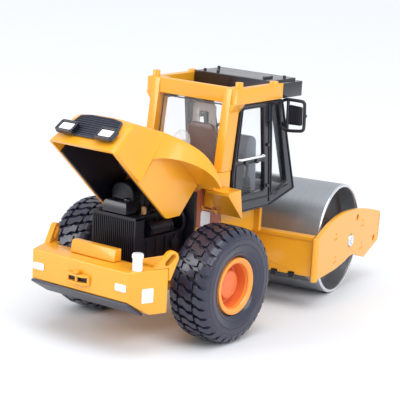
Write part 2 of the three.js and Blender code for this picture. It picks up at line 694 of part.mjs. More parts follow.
// ---------------------------------------------------------------- drum frame, drawn straight
function yokePlate() {
  const side = new THREE.Shape();
  side.moveTo(4.4, 12.5);
  side.lineTo(23.7, 12.8);
  side.lineTo(33.8, 14.0);
  side.quadraticCurveTo(41, 16.4, 47.7, 13.4);
  side.lineTo(54.7, 11.4);
  side.lineTo(69.8, 15.6);
  side.lineTo(70.8, 26.4);
  side.quadraticCurveTo(70.4, 27.8, 67.6, 28.2);
  side.quadraticCurveTo(48, 33.4, 32, 33.9);
  side.quadraticCurveTo(17, 33.8, 4.4, 28.2);
  withHoles(side, [[DRUM_X, DRUM_R, 2.6], [44.6, 29.4, 1.2], [64.3, 17.4, 1.2]]);
  const corner = rodZ(1.8, 11.8, 28.8, BEAM_X + 0.4, -34, 14);
  const cornerOutside = common(corner, block(0, 20, -40, -YOKE_IN + 0.4, 0, 40));
  return join(alongY(side, -YOKE_OUT, -YOKE_IN, 7), cornerOutside);
}

function rearBeam() {
  const section = outline([
    [BEAM_X, 13.5], [BEAM_X + 3.4, 13.5], [BEAM_X + 3.4, 28.8], [BEAM_X, 28.8],
  ]);
  const notch = (y) => block(0, 12, y, y + 2.6, 12, 14.4);
  const beam = alongY(section, -YOKE_IN + 0.5, YOKE_IN - 0.5);
  return cut(beam, notch(-26.5), notch(-19.5), notch(17), notch(24));
}

function frontBeam() {
  return alongY(outline([[63.2, 14.6], [66.6, 14.6], [66.6, 27], [63.2, 27]]), -YOKE_IN + 0.1, YOKE_IN - 0.1);
}

function scraper() {
  const blade = alongY(outline([[9, 12.4], [16.2, 8.6], [16.6, 9.2], [9.6, 13.4]]), -29, 29);
  const tab = (y) => block(BEAM_X + 3.5, BEAM_X + 4.7, y, y + 4, 12.4, 17);
  return join(blade, tab(-26), tab(-2), tab(22));
}

function tongue() {
  const plan = new THREE.Shape();
  plan.moveTo(BEAM_X - TOUCH, -9);
  plan.lineTo(BEAM_X - TOUCH, 9);
  plan.lineTo(2.6, 4.2);
  plan.absarc(0, 0, 4.4, 1.1, 2 * Math.PI - 1.1, false);
  plan.lineTo(2.6, -4.2);
  return cut(alongZ(plan, 16.5, 24.5, 20), rodZ(PIN_R + FIT, 10, 30, 0, 0, 20));
}

// A bearing bolted through the side plate; the drum's axle turns in it.
function drumBearing() {
  const body = join(
    rodY(2.4, -YOKE_OUT - 0.5, -YOKE_IN + 1, DRUM_X, DRUM_R, 16),
    rodY(4.6, -YOKE_IN + TOUCH, -26, DRUM_X, DRUM_R, 16),
  );
  return cut(body, rodY(AXLE_R + FIT, -33.4, -20, DRUM_X, DRUM_R, 24));
}

// ---------------------------------------------------------------- drum and wheels
function drumShell() {
  const inner = DRUM_R - DRUM_WALL;
  return turned([
    [inner, -DRUM_HALF], [DRUM_R - 0.3, -DRUM_HALF], [DRUM_R, -DRUM_HALF + 0.3],
    [DRUM_R, DRUM_HALF - 0.3], [DRUM_R - 0.3, DRUM_HALF], [inner, DRUM_HALF],
  ], DRUM_X, DRUM_R, 64);
}

// The drum's axle with a web disc near each end.
function drumHub() {
  const [web, thick, rim] = [22, 1.4, DRUM_R - DRUM_WALL - 0.1];
  const half = [
    [0, -33.2], [AXLE_R, -33.2], [AXLE_R, -web - thick], [rim, -web - thick], [rim, -web], [3, -web],
  ];
  const other = half.slice().reverse().map(([r, y]) => [r, -y]);
  return turned(half.concat(other), DRUM_X, DRUM_R, 32);
}

function tyre() {
  const innerSide = [
    [BEAD_R, -21.6], [11.6, -TYRE_IN - 0.6], [15, -TYRE_IN], [18.3, -TYRE_IN - 0.4],
    [19.9, -21], [WHEEL_R, -22.4],
  ];
  const outerSide = [
    [WHEEL_R, -32.6], [19.9, -34], [18.3, 0.4 - TYRE_OUT], [15, -TYRE_OUT],
    [11.6, 0.8 - TYRE_OUT], [BEAD_R, -33.8],
  ];
  return turned(innerSide.concat(outerSide).reverse(), 0, WHEEL_R, 40);
}

// A dished rim: the hub face stands well inside the outer lip.
function wheelRim() {
  const seat = BEAD_R - 0.1;
  return turned([
    [AXLE_R + 0.05, -20.6], [6, -20.6], [6.6, -22], [seat, -22.4], [seat, -34], [9.7, -34.4], [9.2, -34.2],
    [8.7, -30], [7.6, -28.6], [4.6, -28.4], [4.4, -31], [AXLE_R + 0.05, -31],
  ].reverse(), 0, WHEEL_R, 32);
}

// ---------------------------------------------------------------- assembly
const machine = new THREE.Group();

const chassis = new THREE.Group();
machine.add(chassis);
add(chassis, 'chassis_frame', chassisFrame(), YELLOW);
add(chassis, 'rear_bumper', bumper(), YELLOW);
add(chassis, 'bumper_underplate', underplate(), DARK);
add(chassis, 'hood_rest_block', hoodRest(), YELLOW);
add(chassis, 'tow_hook', towHook(), YELLOW);
add(chassis, 'lifting_ear_right', join(liftingEar(), earWeb()), YELLOW);
add(chassis, 'lifting_ear_left', mirrored(liftingEar()), YELLOW);
add(chassis, 'marker_lamp', markerLamp(), WHITE);
addPair(chassis, 'reflector', reflector, WHITE);
add(chassis, 'radiator', radiator(), BLACK);
add(chassis, 'radiator_tank', radiatorTank(), DARK);
add(chassis, 'engine_block', engineBlock(), BLACK);
add(chassis, 'firewall', firewall(), BLACK);
add(chassis, 'cab_base', cabBase(), YELLOW);
addPair(chassis, 'fender_wedge', fenderWedge, YELLOW);
add(chassis, 'rops_frame', ropsFrame(), YELLOW);
add(chassis, 'cab_floor', cabFloor(), BLACK);
addPair(chassis, 'door_frame', doorFrame, BLACK);
addPair(chassis, 'door_glass', doorGlass, CLEAR);
add(chassis, 'windscreen_frame', screenFrame(), BLACK);
add(chassis, 'windscreen', screenGlass(), CLEAR);
add(chassis, 'rear_window', rearGlass(), CLEAR);
add(chassis, 'roof_box', roofBox(), BLACK);
addPair(chassis, 'mirror', mirror, BLACK);
add(chassis, 'seat_cushion', seatCushion(), SEAT);
add(chassis, 'seat_backrest', seatBack(), SEAT);
add(chassis, 'steering_wheel', steeringWheel(), BLACK);
add(chassis, 'control_console', controlConsole(), GREY);
add(chassis, 'lever_boot', leverBoot(), BLACK);
addPair(chassis, 'handrail', handrail, WHITE);
add(chassis, 'air_precleaner', precleaner(), WHITE);
add(chassis, 'hood_hinge_pin', rodY(HINGE_PIN_R, -13.2, 13.2, HINGE_X, HINGE_Z, 16), STEEL);
add(chassis, 'steering_pin', rodZ(PIN_R, 12, 29.2, PIVOT_X, 0, 20), STEEL);

const hoodPivot = new THREE.Group();
hoodPivot.position.set(HINGE_X, 0, HINGE_Z);
hoodPivot.rotation.y = THREE.MathUtils.degToRad(HOOD_OPEN_DEG);
const hood = new THREE.Group();
hood.position.set(-HINGE_X, 0, -HINGE_Z);
hoodPivot.add(hood);
machine.add(hoodPivot);
add(hood, 'hood_shell', hoodShell(), YELLOW);
add(hood, 'grille', grille(), DARK);
addPair(hood, 'headlight_housing', headlightHousing, BLACK);
addPair(hood, 'headlight_lens', headlightLens, WHITE);

const drumFrame = new THREE.Group();
drumFrame.position.x = PIVOT_X;
drumFrame.rotation.z = THREE.MathUtils.degToRad(STEER_DEG);
machine.add(drumFrame);
addPair(drumFrame, 'yoke_plate', yokePlate, YELLOW);
add(drumFrame, 'yoke_rear_beam', rearBeam(), YELLOW);
add(drumFrame, 'yoke_front_beam', frontBeam(), YELLOW);
add(drumFrame, 'drum_scraper', scraper(), BLACK);
add(drumFrame, 'steering_tongue', tongue(), YELLOW);
addPair(drumFrame, 'drum_bearing', drumBearing, STEEL);
add(drumFrame, 'drum_shell', drumShell(), STEEL);
add(drumFrame, 'drum_hub', drumHub(), STEEL);

const wheels = new THREE.Group();
machine.add(wheels);
add(wheels, 'rear_axle', rodY(AXLE_R, -30.9, 30.9, 0, WHEEL_R, 24), STEEL);
addPair(wheels, 'tyre', tyre, RUBBER);
addPair(wheels, 'wheel_rim', wheelRim, ORANGE);

// The origin is the middle of the model's own box, on the ground.
machine.updateMatrixWorld(true);
const extent = new THREE.Box3().setFromObject(machine, true);
machine.position.set(-(extent.min.x + extent.max.x) / 2, -(extent.min.y + extent.max.y) / 2, 0);

export default machine;
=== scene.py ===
# The looks of the toy road roller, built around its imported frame. Metres, +Z up, +X forward to the drum.
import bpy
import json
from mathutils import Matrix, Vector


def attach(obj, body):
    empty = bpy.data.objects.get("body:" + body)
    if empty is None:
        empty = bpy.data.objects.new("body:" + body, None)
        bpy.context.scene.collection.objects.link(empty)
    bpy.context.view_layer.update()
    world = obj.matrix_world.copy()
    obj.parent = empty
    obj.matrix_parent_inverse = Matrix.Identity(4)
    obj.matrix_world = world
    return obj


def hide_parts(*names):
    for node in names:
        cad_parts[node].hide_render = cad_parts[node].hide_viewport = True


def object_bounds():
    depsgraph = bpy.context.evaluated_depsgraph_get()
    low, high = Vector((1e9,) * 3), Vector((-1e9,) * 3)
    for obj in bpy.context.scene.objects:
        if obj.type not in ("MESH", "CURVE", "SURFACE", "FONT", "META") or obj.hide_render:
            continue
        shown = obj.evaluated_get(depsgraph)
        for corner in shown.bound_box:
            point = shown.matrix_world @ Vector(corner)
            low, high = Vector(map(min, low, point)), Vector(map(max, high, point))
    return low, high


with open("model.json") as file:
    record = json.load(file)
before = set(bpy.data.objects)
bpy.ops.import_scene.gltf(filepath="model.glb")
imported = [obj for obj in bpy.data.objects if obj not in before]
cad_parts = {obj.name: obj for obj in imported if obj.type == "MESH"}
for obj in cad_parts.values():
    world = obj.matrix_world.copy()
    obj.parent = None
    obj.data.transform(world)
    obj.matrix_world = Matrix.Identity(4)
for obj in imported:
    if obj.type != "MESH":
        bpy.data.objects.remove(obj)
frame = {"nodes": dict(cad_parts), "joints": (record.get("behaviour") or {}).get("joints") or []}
cad_box = [list(corner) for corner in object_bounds()]

import json
from math import atan, atan2, cos, pi, radians, sin, sqrt, tan

import bmesh
import bpy
from mathutils import Matrix, Vector

# ---- where things are
# Pieces are drawn in millimetres from a point on the ground under the rear axle, with the drum frame straight
# and the hood shut. CHASSIS, HOOD and DRUM_FRAME put them where the frame rests.
MM = 0.001
JOINTS = {joint["name"]: joint for joint in frame["joints"]}
AXLE = Vector(JOINTS["rear_wheels_spin"]["pos_m"])
PIVOT = Vector(JOINTS["articulation_steer"]["pos_m"])
HINGE = Vector(JOINTS["hood_hinge"]["pos_m"])
STEER = atan2(-JOINTS["drum_spin"]["axis"][0], JOINTS["drum_spin"]["axis"][1])
HOOD_OPEN = radians(-JOINTS["hood_hinge"]["range_deg"][0])

CHASSIS = Matrix.Translation((AXLE.x, AXLE.y, 0)) @ Matrix.Scale(MM, 4)
LIFT = Matrix.Translation(HINGE) @ Matrix.Rotation(HOOD_OPEN, 4, "Y") @ Matrix.Translation(-HINGE)
HOOD = LIFT @ CHASSIS
DRUM_FRAME = Matrix.Translation((PIVOT.x, PIVOT.y, 0)) @ Matrix.Rotation(STEER, 4, "Z") @ Matrix.Scale(MM, 4)

PLACES = {
    "chassis": CHASSIS, "hood": HOOD, "drum_frame": DRUM_FRAME, "drum": DRUM_FRAME, "rear_wheels": CHASSIS,
}
AXLE_Z = AXLE.z / MM
HINGE_X = (HINGE.x - AXLE.x) / MM
HINGE_Z = HINGE.z / MM


def add_object(name, data):
    obj = bpy.data.objects.new(name, data)
    bpy.context.scene.collection.objects.link(obj)
    return obj


# ---- camera
def add_camera():
    """Behind and to the right of the roller, a little above it, and slightly rolled."""
    yaw, pitch, roll = (radians(angle) for angle in (36.62, 12.41, 3.05))
    distance, shift_right, shift_up = 0.56665, -0.0033, -0.00505
    forward = Vector((cos(pitch) * cos(yaw), cos(pitch) * sin(yaw), -sin(pitch)))
    level = Vector((sin(yaw), -cos(yaw), 0))
    above = level.cross(forward)
    right = level * cos(roll) + above * sin(roll)
    up = right.cross(forward)
    data = bpy.data.cameras.new("camera")
    data.sensor_width = 36
    data.lens = 136.6
    data.clip_start = 0.01
    camera = add_object("camera", data)
    middle = Vector((0, 0, cad_box[1][2] / 2))
    turn = Matrix((right, up, -forward)).transposed().to_4x4()
    place = middle - forward * distance + right * shift_right + up * shift_up
    camera.matrix_world = Matrix.Translation(place) @ turn
    bpy.context.scene.camera = camera


add_camera()
bpy.context.scene.view_settings.view_transform = "Standard"


# ---- materials
class Shader:
    """A material's node tree, with short calls for the nodes that the materials here share."""

    def __init__(self, name, roughness, metallic=0.0, coat=0.0, alpha=1.0):
        self.material = bpy.data.materials.new(name)
        self.material.use_nodes = True
        self.nodes = self.material.node_tree.nodes
        self.links = self.material.node_tree.links
        self.body = self.nodes["Principled BSDF"]
        values = {"Roughness": roughness, "Metallic": metallic, "Coat Weight": coat, "Coat Roughness": 0.08,
                  "Alpha": alpha, "IOR": 1.5}
        for socket, value in values.items():
            self.body.inputs[socket].default_value = value
        self.place = self.nodes.new("ShaderNodeTexCoord").outputs["Object"]
        self.height = None

    def node(self, kind, links, values):
        """A new node, with some inputs linked and others set."""
        node = self.nodes.new(kind)
        for socket, source in links.items():
            self.links.new(source, node.inputs[socket])
        for socket, value in values.items():
            node.inputs[socket].default_value = value
        return node

    def stretched(self, scale, turn=0.0):
        """Object coordinates turned about Z and then stretched, for brushed or moulded lines."""
        turned = self.node("ShaderNodeMapping", {"Vector": self.place}, {"Rotation": (0, 0, turn)})
        mapped = self.node("ShaderNodeMapping", {"Vector": turned.outputs["Vector"]}, {"Scale": scale})
        return mapped.outputs["Vector"]

    def noise(self, size_mm, detail=2.0, vector=None):
        """Noise whose features are about size_mm across."""
        scale = 1 / (size_mm * MM) if vector is None else 1.0
        values = {"Scale": scale, "Detail": detail}
        return self.node("ShaderNodeTexNoise", {"Vector": vector or self.place}, values).outputs["Fac"]

    def color(self, value, low, high):
        """The base colour runs from low to high with a value from 0 to 1."""
        ramp = self.nodes.new("ShaderNodeMix")
        ramp.data_type = "RGBA"
        ramp.inputs["A"].default_value = (*low, 1)
        ramp.inputs["B"].default_value = (*high, 1)
        self.links.new(value, ramp.inputs["Factor"])
        self.links.new(ramp.outputs["Result"], self.body.inputs["Base Color"])

    def spread(self, value, low, high):
        """The roughness runs from low to high with a value from 0 to 1."""
        ramp = self.node("ShaderNodeMapRange", {"Value": value}, {"To Min": low, "To Max": high})
        self.links.new(ramp.outputs["Result"], self.body.inputs["Roughness"])

    def bump(self, value, depth_mm, strength=0.5):
        """A relief of about depth_mm, added to any before it."""
        values = {"Distance": depth_mm * MM, "Strength": strength}
        node = self.node("ShaderNodeBump", {"Height": value}, values)
        if self.height:
            self.links.new(self.height, node.inputs["Normal"])
        self.height = node.outputs["Normal"]
        self.links.new(self.height, self.body.inputs["Normal"])


def scaled(color, factor):
    return tuple(min(1.0, part * factor) for part in color)


def plastic(name, color, roughness, spread=0.12, grain_mm=0.25, depth_mm=0.02, coat=0.0, contrast=0.16):
    """Moulded or painted surface: a fine grain, a slow drift in colour and slightly uneven gloss."""
    shader = Shader(name, roughness, coat=coat)
    drift = shader.noise(9.0, 3.0)
    shader.color(drift, scaled(color, 1 - contrast), scaled(color, 1 + contrast))
    shader.spread(shader.noise(3.0, 4.0), roughness - spread / 2, roughness + spread / 2)
    shader.bump(shader.noise(grain_mm, 3.0), depth_mm)
    return shader.material


def steel(name, color, roughness, turn=0.0, scale=(1500, 1500, 1500), streak=0.18):
    """Bare metal with fine machining lines, drawn out in the direction of the smallest scale."""
    shader = Shader(name, roughness, metallic=0.85)
    lines = shader.noise(1.0, 3.0, shader.stretched(scale, turn))
    shader.color(lines, scaled(color, 1 - streak), scaled(color, 1 + streak))
    shader.spread(shader.noise(1.2, 4.0), roughness - 0.08, roughness + 0.1)
    shader.bump(lines, 0.01, 0.35)
    return shader.material


def rubber():
    """Soft PVC tyre: blue-black, with a satin skin and a faint cloudy bloom."""
    shader = Shader("tyre_rubber", 0.36, coat=0.3)
    shader.color(shader.noise(5.0, 5.0), (0.012, 0.013, 0.030), (0.026, 0.028, 0.058))
    shader.spread(shader.noise(1.5, 4.0), 0.28, 0.44)
    shader.bump(shader.noise(0.35, 4.0), 0.02, 0.5)
    return shader.material


def clear(name, color, alpha, roughness):
    """Thin clear moulding, with the slow ripple that moulded glazing has."""
    shader = Shader(name, roughness, alpha=alpha)
    shader.color(shader.noise(12.0), scaled(color, 0.94), color)
    shader.bump(shader.noise(7.0, 1.0), 0.12, 0.4)
    return shader.material


YELLOW = plastic("yellow_gloss_paint", (0.85, 0.372, 0.018), 0.30, 0.06, 0.6, 0.003, coat=0.35, contrast=0.04)
# painted shade and painted light: the rim is one orange plastic, drawn as a darker, redder copy for the
# shaded dish and a lighter copy for the lit lip
RIM_DISH_PAINTED_SHADE = plastic("rim_plastic_painted_shade", (0.78, 0.17, 0.045), 0.36, 0.12, 0.4, 0.01, 0.1, 0.07)
RIM_LIP_PAINTED_LIGHT = plastic("rim_plastic_painted_light", (0.92, 0.33, 0.05), 0.3, 0.12, 0.4, 0.01, coat=0.3, contrast=0.05)
# painted shade: this terracotta colour stands for the shade on the cab base's side under the hood
SHADE_TERRACOTTA = plastic("painted_shade_terracotta", (0.36, 0.085, 0.035), 0.4, 0.14, 0.5, 0.02, 0.1, 0.25)
BLACK = plastic("black_satin_plastic", (0.010, 0.010, 0.018), 0.3, 0.12, coat=0.2)
GLOSS_BLACK = plastic("black_gloss_plastic", (0.008, 0.008, 0.016), 0.2, 0.08, 0.5, 0.006, coat=0.4)
DARK = plastic("dark_grey_plastic", (0.040, 0.044, 0.066), 0.4, 0.14)
GREY = plastic("grey_plastic", (0.26, 0.28, 0.34), 0.42, 0.14, contrast=0.08)
SEAT = plastic("seat_brown_black", (0.085, 0.019, 0.008), 0.34, 0.2, 0.5, 0.04, contrast=0.7)
WHITE = plastic("white_plastic", (0.84, 0.85, 0.88), 0.25, 0.1, 0.5, 0.006, coat=0.3, contrast=0.03)
ENGINE = plastic("engine_black", (0.0045, 0.0045, 0.010), 0.42, 0.2, 0.5, 0.03, contrast=0.3)
LINER = plastic("hood_inside_black", (0.006, 0.006, 0.014), 0.5, 0.15, 0.4, 0.02, contrast=0.3)
LENS = plastic("lamp_lens_white", (0.90, 0.91, 0.94), 0.12, 0.06, 0.8, 0.01, coat=0.6, contrast=0.03)
TAN = plastic("tan_cap_plastic", (0.55, 0.30, 0.12), 0.35, 0.1, contrast=0.1)
RUBBER = rubber()
DRUM_STEEL = steel("drum_satin_steel", (0.43, 0.455, 0.49), 0.36, -STEER, (90, 2600, 90))
WEB_STEEL = steel("drum_web_steel", (0.24, 0.25, 0.28), 0.42, -STEER, (1200, 1200, 1200), 0.12)
BRIGHT_STEEL = steel("bright_machined_steel", (0.78, 0.80, 0.83), 0.24, -STEER, (200, 2600, 200), 0.08)
GLASS = clear("clear_glazing", (0.86, 0.91, 0.95), 0.05, 0.03)
CLEAR = clear("clear_bowl", (0.72, 0.77, 0.83), 0.34, 0.04)
SMOKE = clear("smoked_headrest", (0.60, 0.63, 0.68), 0.5, 0.15)


# ---- solids
def loft(bm, rings, caps=True, loop=False):
    """Joins rings of equally many points into a skin. With loop, the last ring meets the first."""
    rows = [[bm.verts.new(point) for point in ring] for ring in rings]
    count = len(rows[0])
    pairs = list(zip(rows, rows[1:]))
    if loop:
        pairs.append((rows[-1], rows[0]))
    for near, far in pairs:
        for i in range(count):
            j = (i + 1) % count
            bm.faces.new((near[i], near[j], far[j], far[i]))
    if caps and not loop:
        bm.faces.new(rows[0][::-1])
        bm.faces.new(rows[-1])


def rectangle(left, low, right, high):
    return [(left, low), (right, low), (right, high), (left, high)]


def box(bm, x, y, z):
    """A block between (low, high) on each axis."""
    loft(bm, [[(a, *corner) for corner in rectangle(y[0], z[0], y[1], z[1])] for a in x])


def arc(centre, radius, start, sweep, steps):
    """Points of an arc in a plane."""
    turns = (start + sweep * i / steps for i in range(steps + 1))
    return [(centre[0] + radius * cos(t), centre[1] + radius * sin(t)) for t in turns]


def circle(radius, steps, centre=(0.0, 0.0)):
    return arc(centre, radius, 0, 2 * pi, steps)[:-1]


def revolve(bm, profile, centre, steps, upright=False):
    """Turns a closed profile of (radius, y) about the Y axis through centre (x, z).

    With upright, the profile is (radius, z) and turns about an upright line through centre (x, y).
    """
    rings = []
    for c, s in circle(1, steps):
        around = [(centre[0] + r * c, centre[1] + r * s, along) for r, along in profile]
        rings.append(around if upright else [(x, y, z) for x, z, y in around])
    loft(bm, rings, loop=True)
    bmesh.ops.remove_doubles(bm, verts=bm.verts, dist=1e-4)


def rod(bm, start, end, radius, steps=16, end_radius=None):
    """A round bar between two points, tapered if end_radius is given."""
    start, end = Vector(start), Vector(end)
    turn = (end - start).to_track_quat("Z", "Y")
    rings = []
    for point, size in ((start, radius), (end, radius if end_radius is None else end_radius)):
        rings.append([point + turn @ Vector((a, b, 0)) for a, b in circle(size, steps)])
    loft(bm, rings)


def rounded(corners, radius, steps=4):
    """An outline with its corners rounded by arcs of that radius."""
    points = []
    for i, corner in enumerate(corners):
        corner = Vector(corner)
        back = (Vector(corners[i - 1]) - corner)
        ahead = (Vector(corners[(i + 1) % len(corners)]) - corner)
        half = back.angle(ahead) / 2
        reach = min(radius / tan(half), 0.48 * back.length, 0.48 * ahead.length)
        size = reach * tan(half)
        back.normalize()
        ahead.normalize()
        centre = corner + (back + ahead).normalized() * size / sin(half)
        first = corner + back * reach - centre
        sweep = first.angle_signed(corner + ahead * reach - centre)
        for k in range(steps + 1):
            turn = Matrix.Rotation(-sweep * k / steps, 2)
            points.append(tuple(centre + turn @ first))
    return points


def smooth_path(points, steps=6, loop=False):
    """More points along a smooth curve through the given ones."""
    points = [Vector(point) for point in points]
    count = len(points)
    result = []
    for i in range(count if loop else count - 1):
        before = points[i - 1] if loop or i else points[0]
        after = points[(i + 2) % count] if loop or i + 2 < count else points[-1]
        a, b = points[i], points[(i + 1) % count]
        for k in range(steps):
            t = k / steps
            bend = (2 * a + (b - before) * t + (2 * before - 5 * a + 4 * b - after) * t * t
                    + (3 * a - before - 3 * b + after) * t ** 3)
            result.append(bend / 2)
    return result if loop else result + [points[-1]]


def tube(bm, points, radius, steps=8, loop=False):
    """A bar of round section along a list of points."""
    points = [Vector(point) for point in points]
    count = len(points)
    rings = []
    side = None
    for i, point in enumerate(points):
        ahead = points[(i + 1) % count] if loop else points[min(i + 1, count - 1)]
        back = points[i - 1] if loop else points[max(i - 1, 0)]
        along = (ahead - back).normalized()
        side = along.orthogonal() if side is None else side - along * side.dot(along)
        side.normalize()
        other = along.cross(side)
        rings.append([point + side * a + other * b for a, b in circle(radius, steps)])
    loft(bm, rings, loop=loop)


PLANES = {
    "xy": Matrix(((1, 0, 0, 0), (0, 1, 0, 0), (0, 0, 1, 0), (0, 0, 0, 1))),
    "xz": Matrix(((1, 0, 0, 0), (0, 0, -1, 0), (0, 1, 0, 0), (0, 0, 0, 1))),
    "yz": Matrix(((0, 0, 1, 0), (1, 0, 0, 0), (0, 1, 0, 0), (0, 0, 0, 1))),
}


def plate(bm, outline, holes, plane, low, high, edge=0.2):
    """A flat plate with holes and rounded edges, between low and high on the axis across its plane."""
    curve = bpy.data.curves.new("plate", "CURVE")
    curve.dimensions = "2D"
    curve.fill_mode = "BOTH"
    curve.extrude = (high - low) / 2 - edge
    curve.bevel_depth = edge
    curve.bevel_resolution = 1
    curve.offset = -edge
    for ring in [outline, *holes]:
        spline = curve.splines.new("POLY")
        spline.points.add(len(ring) - 1)
        for point, (a, b) in zip(spline.points, ring):
            point.co = (a, b, 0, 1)
        spline.use_cyclic_u = True
    carrier = add_object("plate", curve)
    mesh = bpy.data.meshes.new_from_object(carrier.evaluated_get(bpy.context.evaluated_depsgraph_get()))
    across = -(low + high) / 2 if plane == "xz" else (low + high) / 2
    mesh.transform(PLANES[plane] @ Matrix.Translation((0, 0, across)))
    bm.from_mesh(mesh)
    bmesh.ops.remove_doubles(bm, verts=bm.verts, dist=1e-4)
    bpy.data.objects.remove(carrier)
    bpy.data.curves.remove(curve)
    bpy.data.meshes.remove(mesh)


def prism(bm, outline, low, high):
    """An outline in X and Z, solid from y = low to y = high."""
    loft(bm, [[(x, y, z) for x, z in outline] for y in (low, high)])


def turn_z(bm, profile, centre, steps):
    revolve(bm, profile, centre, steps, upright=True)


def inset(corners, distance):
    """An outline moved inwards by a distance."""
    corners = [Vector(corner) for corner in corners]
    area = sum(a.x * b.y - b.x * a.y for a, b in zip(corners, corners[1:] + corners[:1]))
    hand = 1 if area > 0 else -1
    result = []
    for i, here in enumerate(corners):
        first = (here - corners[i - 1]).normalized()
        second = (corners[(i + 1) % len(corners)] - here).normalized()
        inward = Vector((-first.y - second.y, first.x + second.x)).normalized() * hand
        result.append(tuple(here + inward * distance / (inward.dot(Vector((-first.y, first.x))) * hand)))
    return result


def both_sides(points):
    """An outline from its half on one side of the axis, which its first or last point may lie on."""
    return points + [(-a, b) for a, b in reversed(points) if a]


def bend(start, control, end, steps=10):
    """Points of a quadratic curve, without its last."""
    start, control, end = Vector(start), Vector(control), Vector(end)
    turns = (i / steps for i in range(steps))
    return [tuple(start * (1 - t) ** 2 + control * 2 * t * (1 - t) + end * t * t) for t in turns]


# ---- pieces
def piece(name, bm, slot, material, replaces=(), bevel=0.0, segments=2, sharp=35, body="chassis", place=None,
          even=False, left=False):
    """Puts a drawn solid in place as an object that rides on a body.

    bevel rounds its sharp edges, in mm; even keeps its large faces flat in the shading; left mirrors it.
    """
    if left:
        bm.transform(Matrix.Scale(-1, 4, (0, 1, 0)))
        bmesh.ops.reverse_faces(bm, faces=bm.faces)
    bmesh.ops.recalc_face_normals(bm, faces=bm.faces)
    bm.transform(place or PLACES[body])
    mesh = bpy.data.meshes.new(name)
    bm.to_mesh(mesh)
    bm.free()
    mesh.materials.append(material)
    mesh.shade_smooth()
    obj = add_object(name, mesh)
    if bevel:
        round_edges(obj, bevel, segments, sharp)
    else:
        mesh.set_sharp_from_angle(angle=radians(sharp))
    if even:
        obj.modifiers.new("even", "WEIGHTED_NORMAL").keep_sharp = True
    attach(obj, body)
    if replaces:
        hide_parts(*replaces)
    return obj


def round_edges(obj, width_mm, segments=2, sharp=35):
    bevel = obj.modifiers.new("rounded", "BEVEL")
    bevel.width = width_mm * MM
    bevel.segments = segments
    bevel.limit_method = "ANGLE"
    bevel.angle_limit = radians(sharp)
    bevel.harden_normals = True
    bevel.use_clamp_overlap = True


def smooth_shading():
    """A geometry node group that shades a mesh smooth, which a CAD node's own mesh isn't."""
    group = bpy.data.node_groups.new("smooth_shading", "GeometryNodeTree")
    group.interface.new_socket("Geometry", in_out="INPUT", socket_type="NodeSocketGeometry")
    group.interface.new_socket("Geometry", in_out="OUTPUT", socket_type="NodeSocketGeometry")
    entry = group.nodes.new("NodeGroupInput")
    smooth = group.nodes.new("GeometryNodeSetShadeSmooth")
    result = group.nodes.new("NodeGroupOutput")
    group.links.new(entry.outputs[0], smooth.inputs["Geometry"])
    group.links.new(smooth.outputs["Geometry"], result.inputs[0])
    return group


SMOOTH = smooth_shading()


def finish_node(names, material, width_mm=0.25, segments=2, sharp=35):
    """Gives CAD nodes their material, and rounds their edges without touching their meshes."""
    for name in names.split():
        obj = frame["nodes"][name]
        obj.data.materials.clear()
        obj.data.materials.append(material)
        weld = obj.modifiers.new("weld", "WELD")
        weld.merge_threshold = 0.001 * MM
        flat = obj.modifiers.new("flat_faces", "DECIMATE")
        flat.decimate_type = "DISSOLVE"
        flat.angle_limit = radians(0.6)
        shade = obj.modifiers.new("smooth", "NODES")
        shade.node_group = SMOOTH
        round_edges(obj, width_mm, segments, sharp)


def drawing():
    return bmesh.new()


SIDES = (("right", False), ("left", True))
CRISP = {"sharp": 50, "even": True}       # shading of plates with rounded edges


# ---- wheels
TYRE_MIDDLE = 27.5
TREAD_PITCHES = 32


def add_tyre(side, left):
    """A carcass with ringed sidewalls, and block lugs that step over the shoulder."""
    bm = drawing()
    outer = [
        (10.2, 6.2), (10.9, 6.7), (11.5, 7.35), (12, 7.5), (12.2, 7.35), (12.5, 7.55), (14.6, 7.95),
        (14.75, 7.72), (15, 7.98), (16.6, 7.9), (16.8, 7.66), (17.05, 7.82), (18.1, 7.55), (18.5, 7.2),
        (18.75, 6.5), (18.95, 5.2), (19.05, 2.6),
    ]
    inner = [(radius, -offset) for radius, offset in reversed(outer)]
    revolve(bm, [(r, -TYRE_MIDDLE - y) for r, y in outer + inner], (0, AXLE_Z), 120)
    for k in range(TREAD_PITCHES):
        add_block(bm, k, 1, CENTRE_BLOCK)
        add_block(bm, k + 0.5, 1, SHOULDER_BLOCK)
        add_block(bm, k + 0.5, -1, SHOULDER_BLOCK)
    piece(f"treaded_tyre_{side}", bm, "tyre_rubber", RUBBER, [f"tyre_{side}"], 0.2, 2, 40, left=left,
          body="rear_wheels")


# Each station of a block: offset from the tyre's middle, carcass radius, lean of the surface in degrees,
# height, shift round the tyre, half width.
CENTRE_BLOCK = [
    (-2.75, 18.8, 0, 1.5, -0.75, 1.3), (-0.75, 18.85, 0, 1.5, -0.7, 1.45), (0.75, 18.85, 0, 1.5, 0.7, 1.45),
    (2.75, 18.8, 0, 1.5, 0.75, 1.3),
]
SHOULDER_BLOCK = [
    (3.35, 18.8, 1, 1.5, -0.3, 1.3), (4.6, 18.75, 3, 1.5, -0.2, 1.5), (5.3, 18.65, 12, 1.42, 0.75, 1.5),
    (6.2, 18.4, 30, 1.3, 0.9, 1.45), (6.95, 17.75, 58, 0.9, 0.9, 1.35), (7.35, 17, 80, 0.5, 0.9, 1.2),
]


def add_block(bm, pitch, hand, stations):
    rings = []
    for offset, radius, lean, height, shift, half in stations:
        lean = radians(lean)
        rise = (height * cos(lean), height * sin(lean))
        ring = []
        for along, up in ((-half, -0.15), (half, -0.15), (half - 0.2, 1), (0.2 - half, 1)):
            turn = 2 * pi * pitch / TREAD_PITCHES + hand * (shift + along) / radius
            r = radius + (rise[0] * up if up > 0 else up)
            y = -TYRE_MIDDLE - hand * (offset + max(up, 0) * rise[1])
            ring.append((r * cos(turn), y, AXLE_Z + r * sin(turn)))
        rings.append(ring)
    loft(bm, rings)


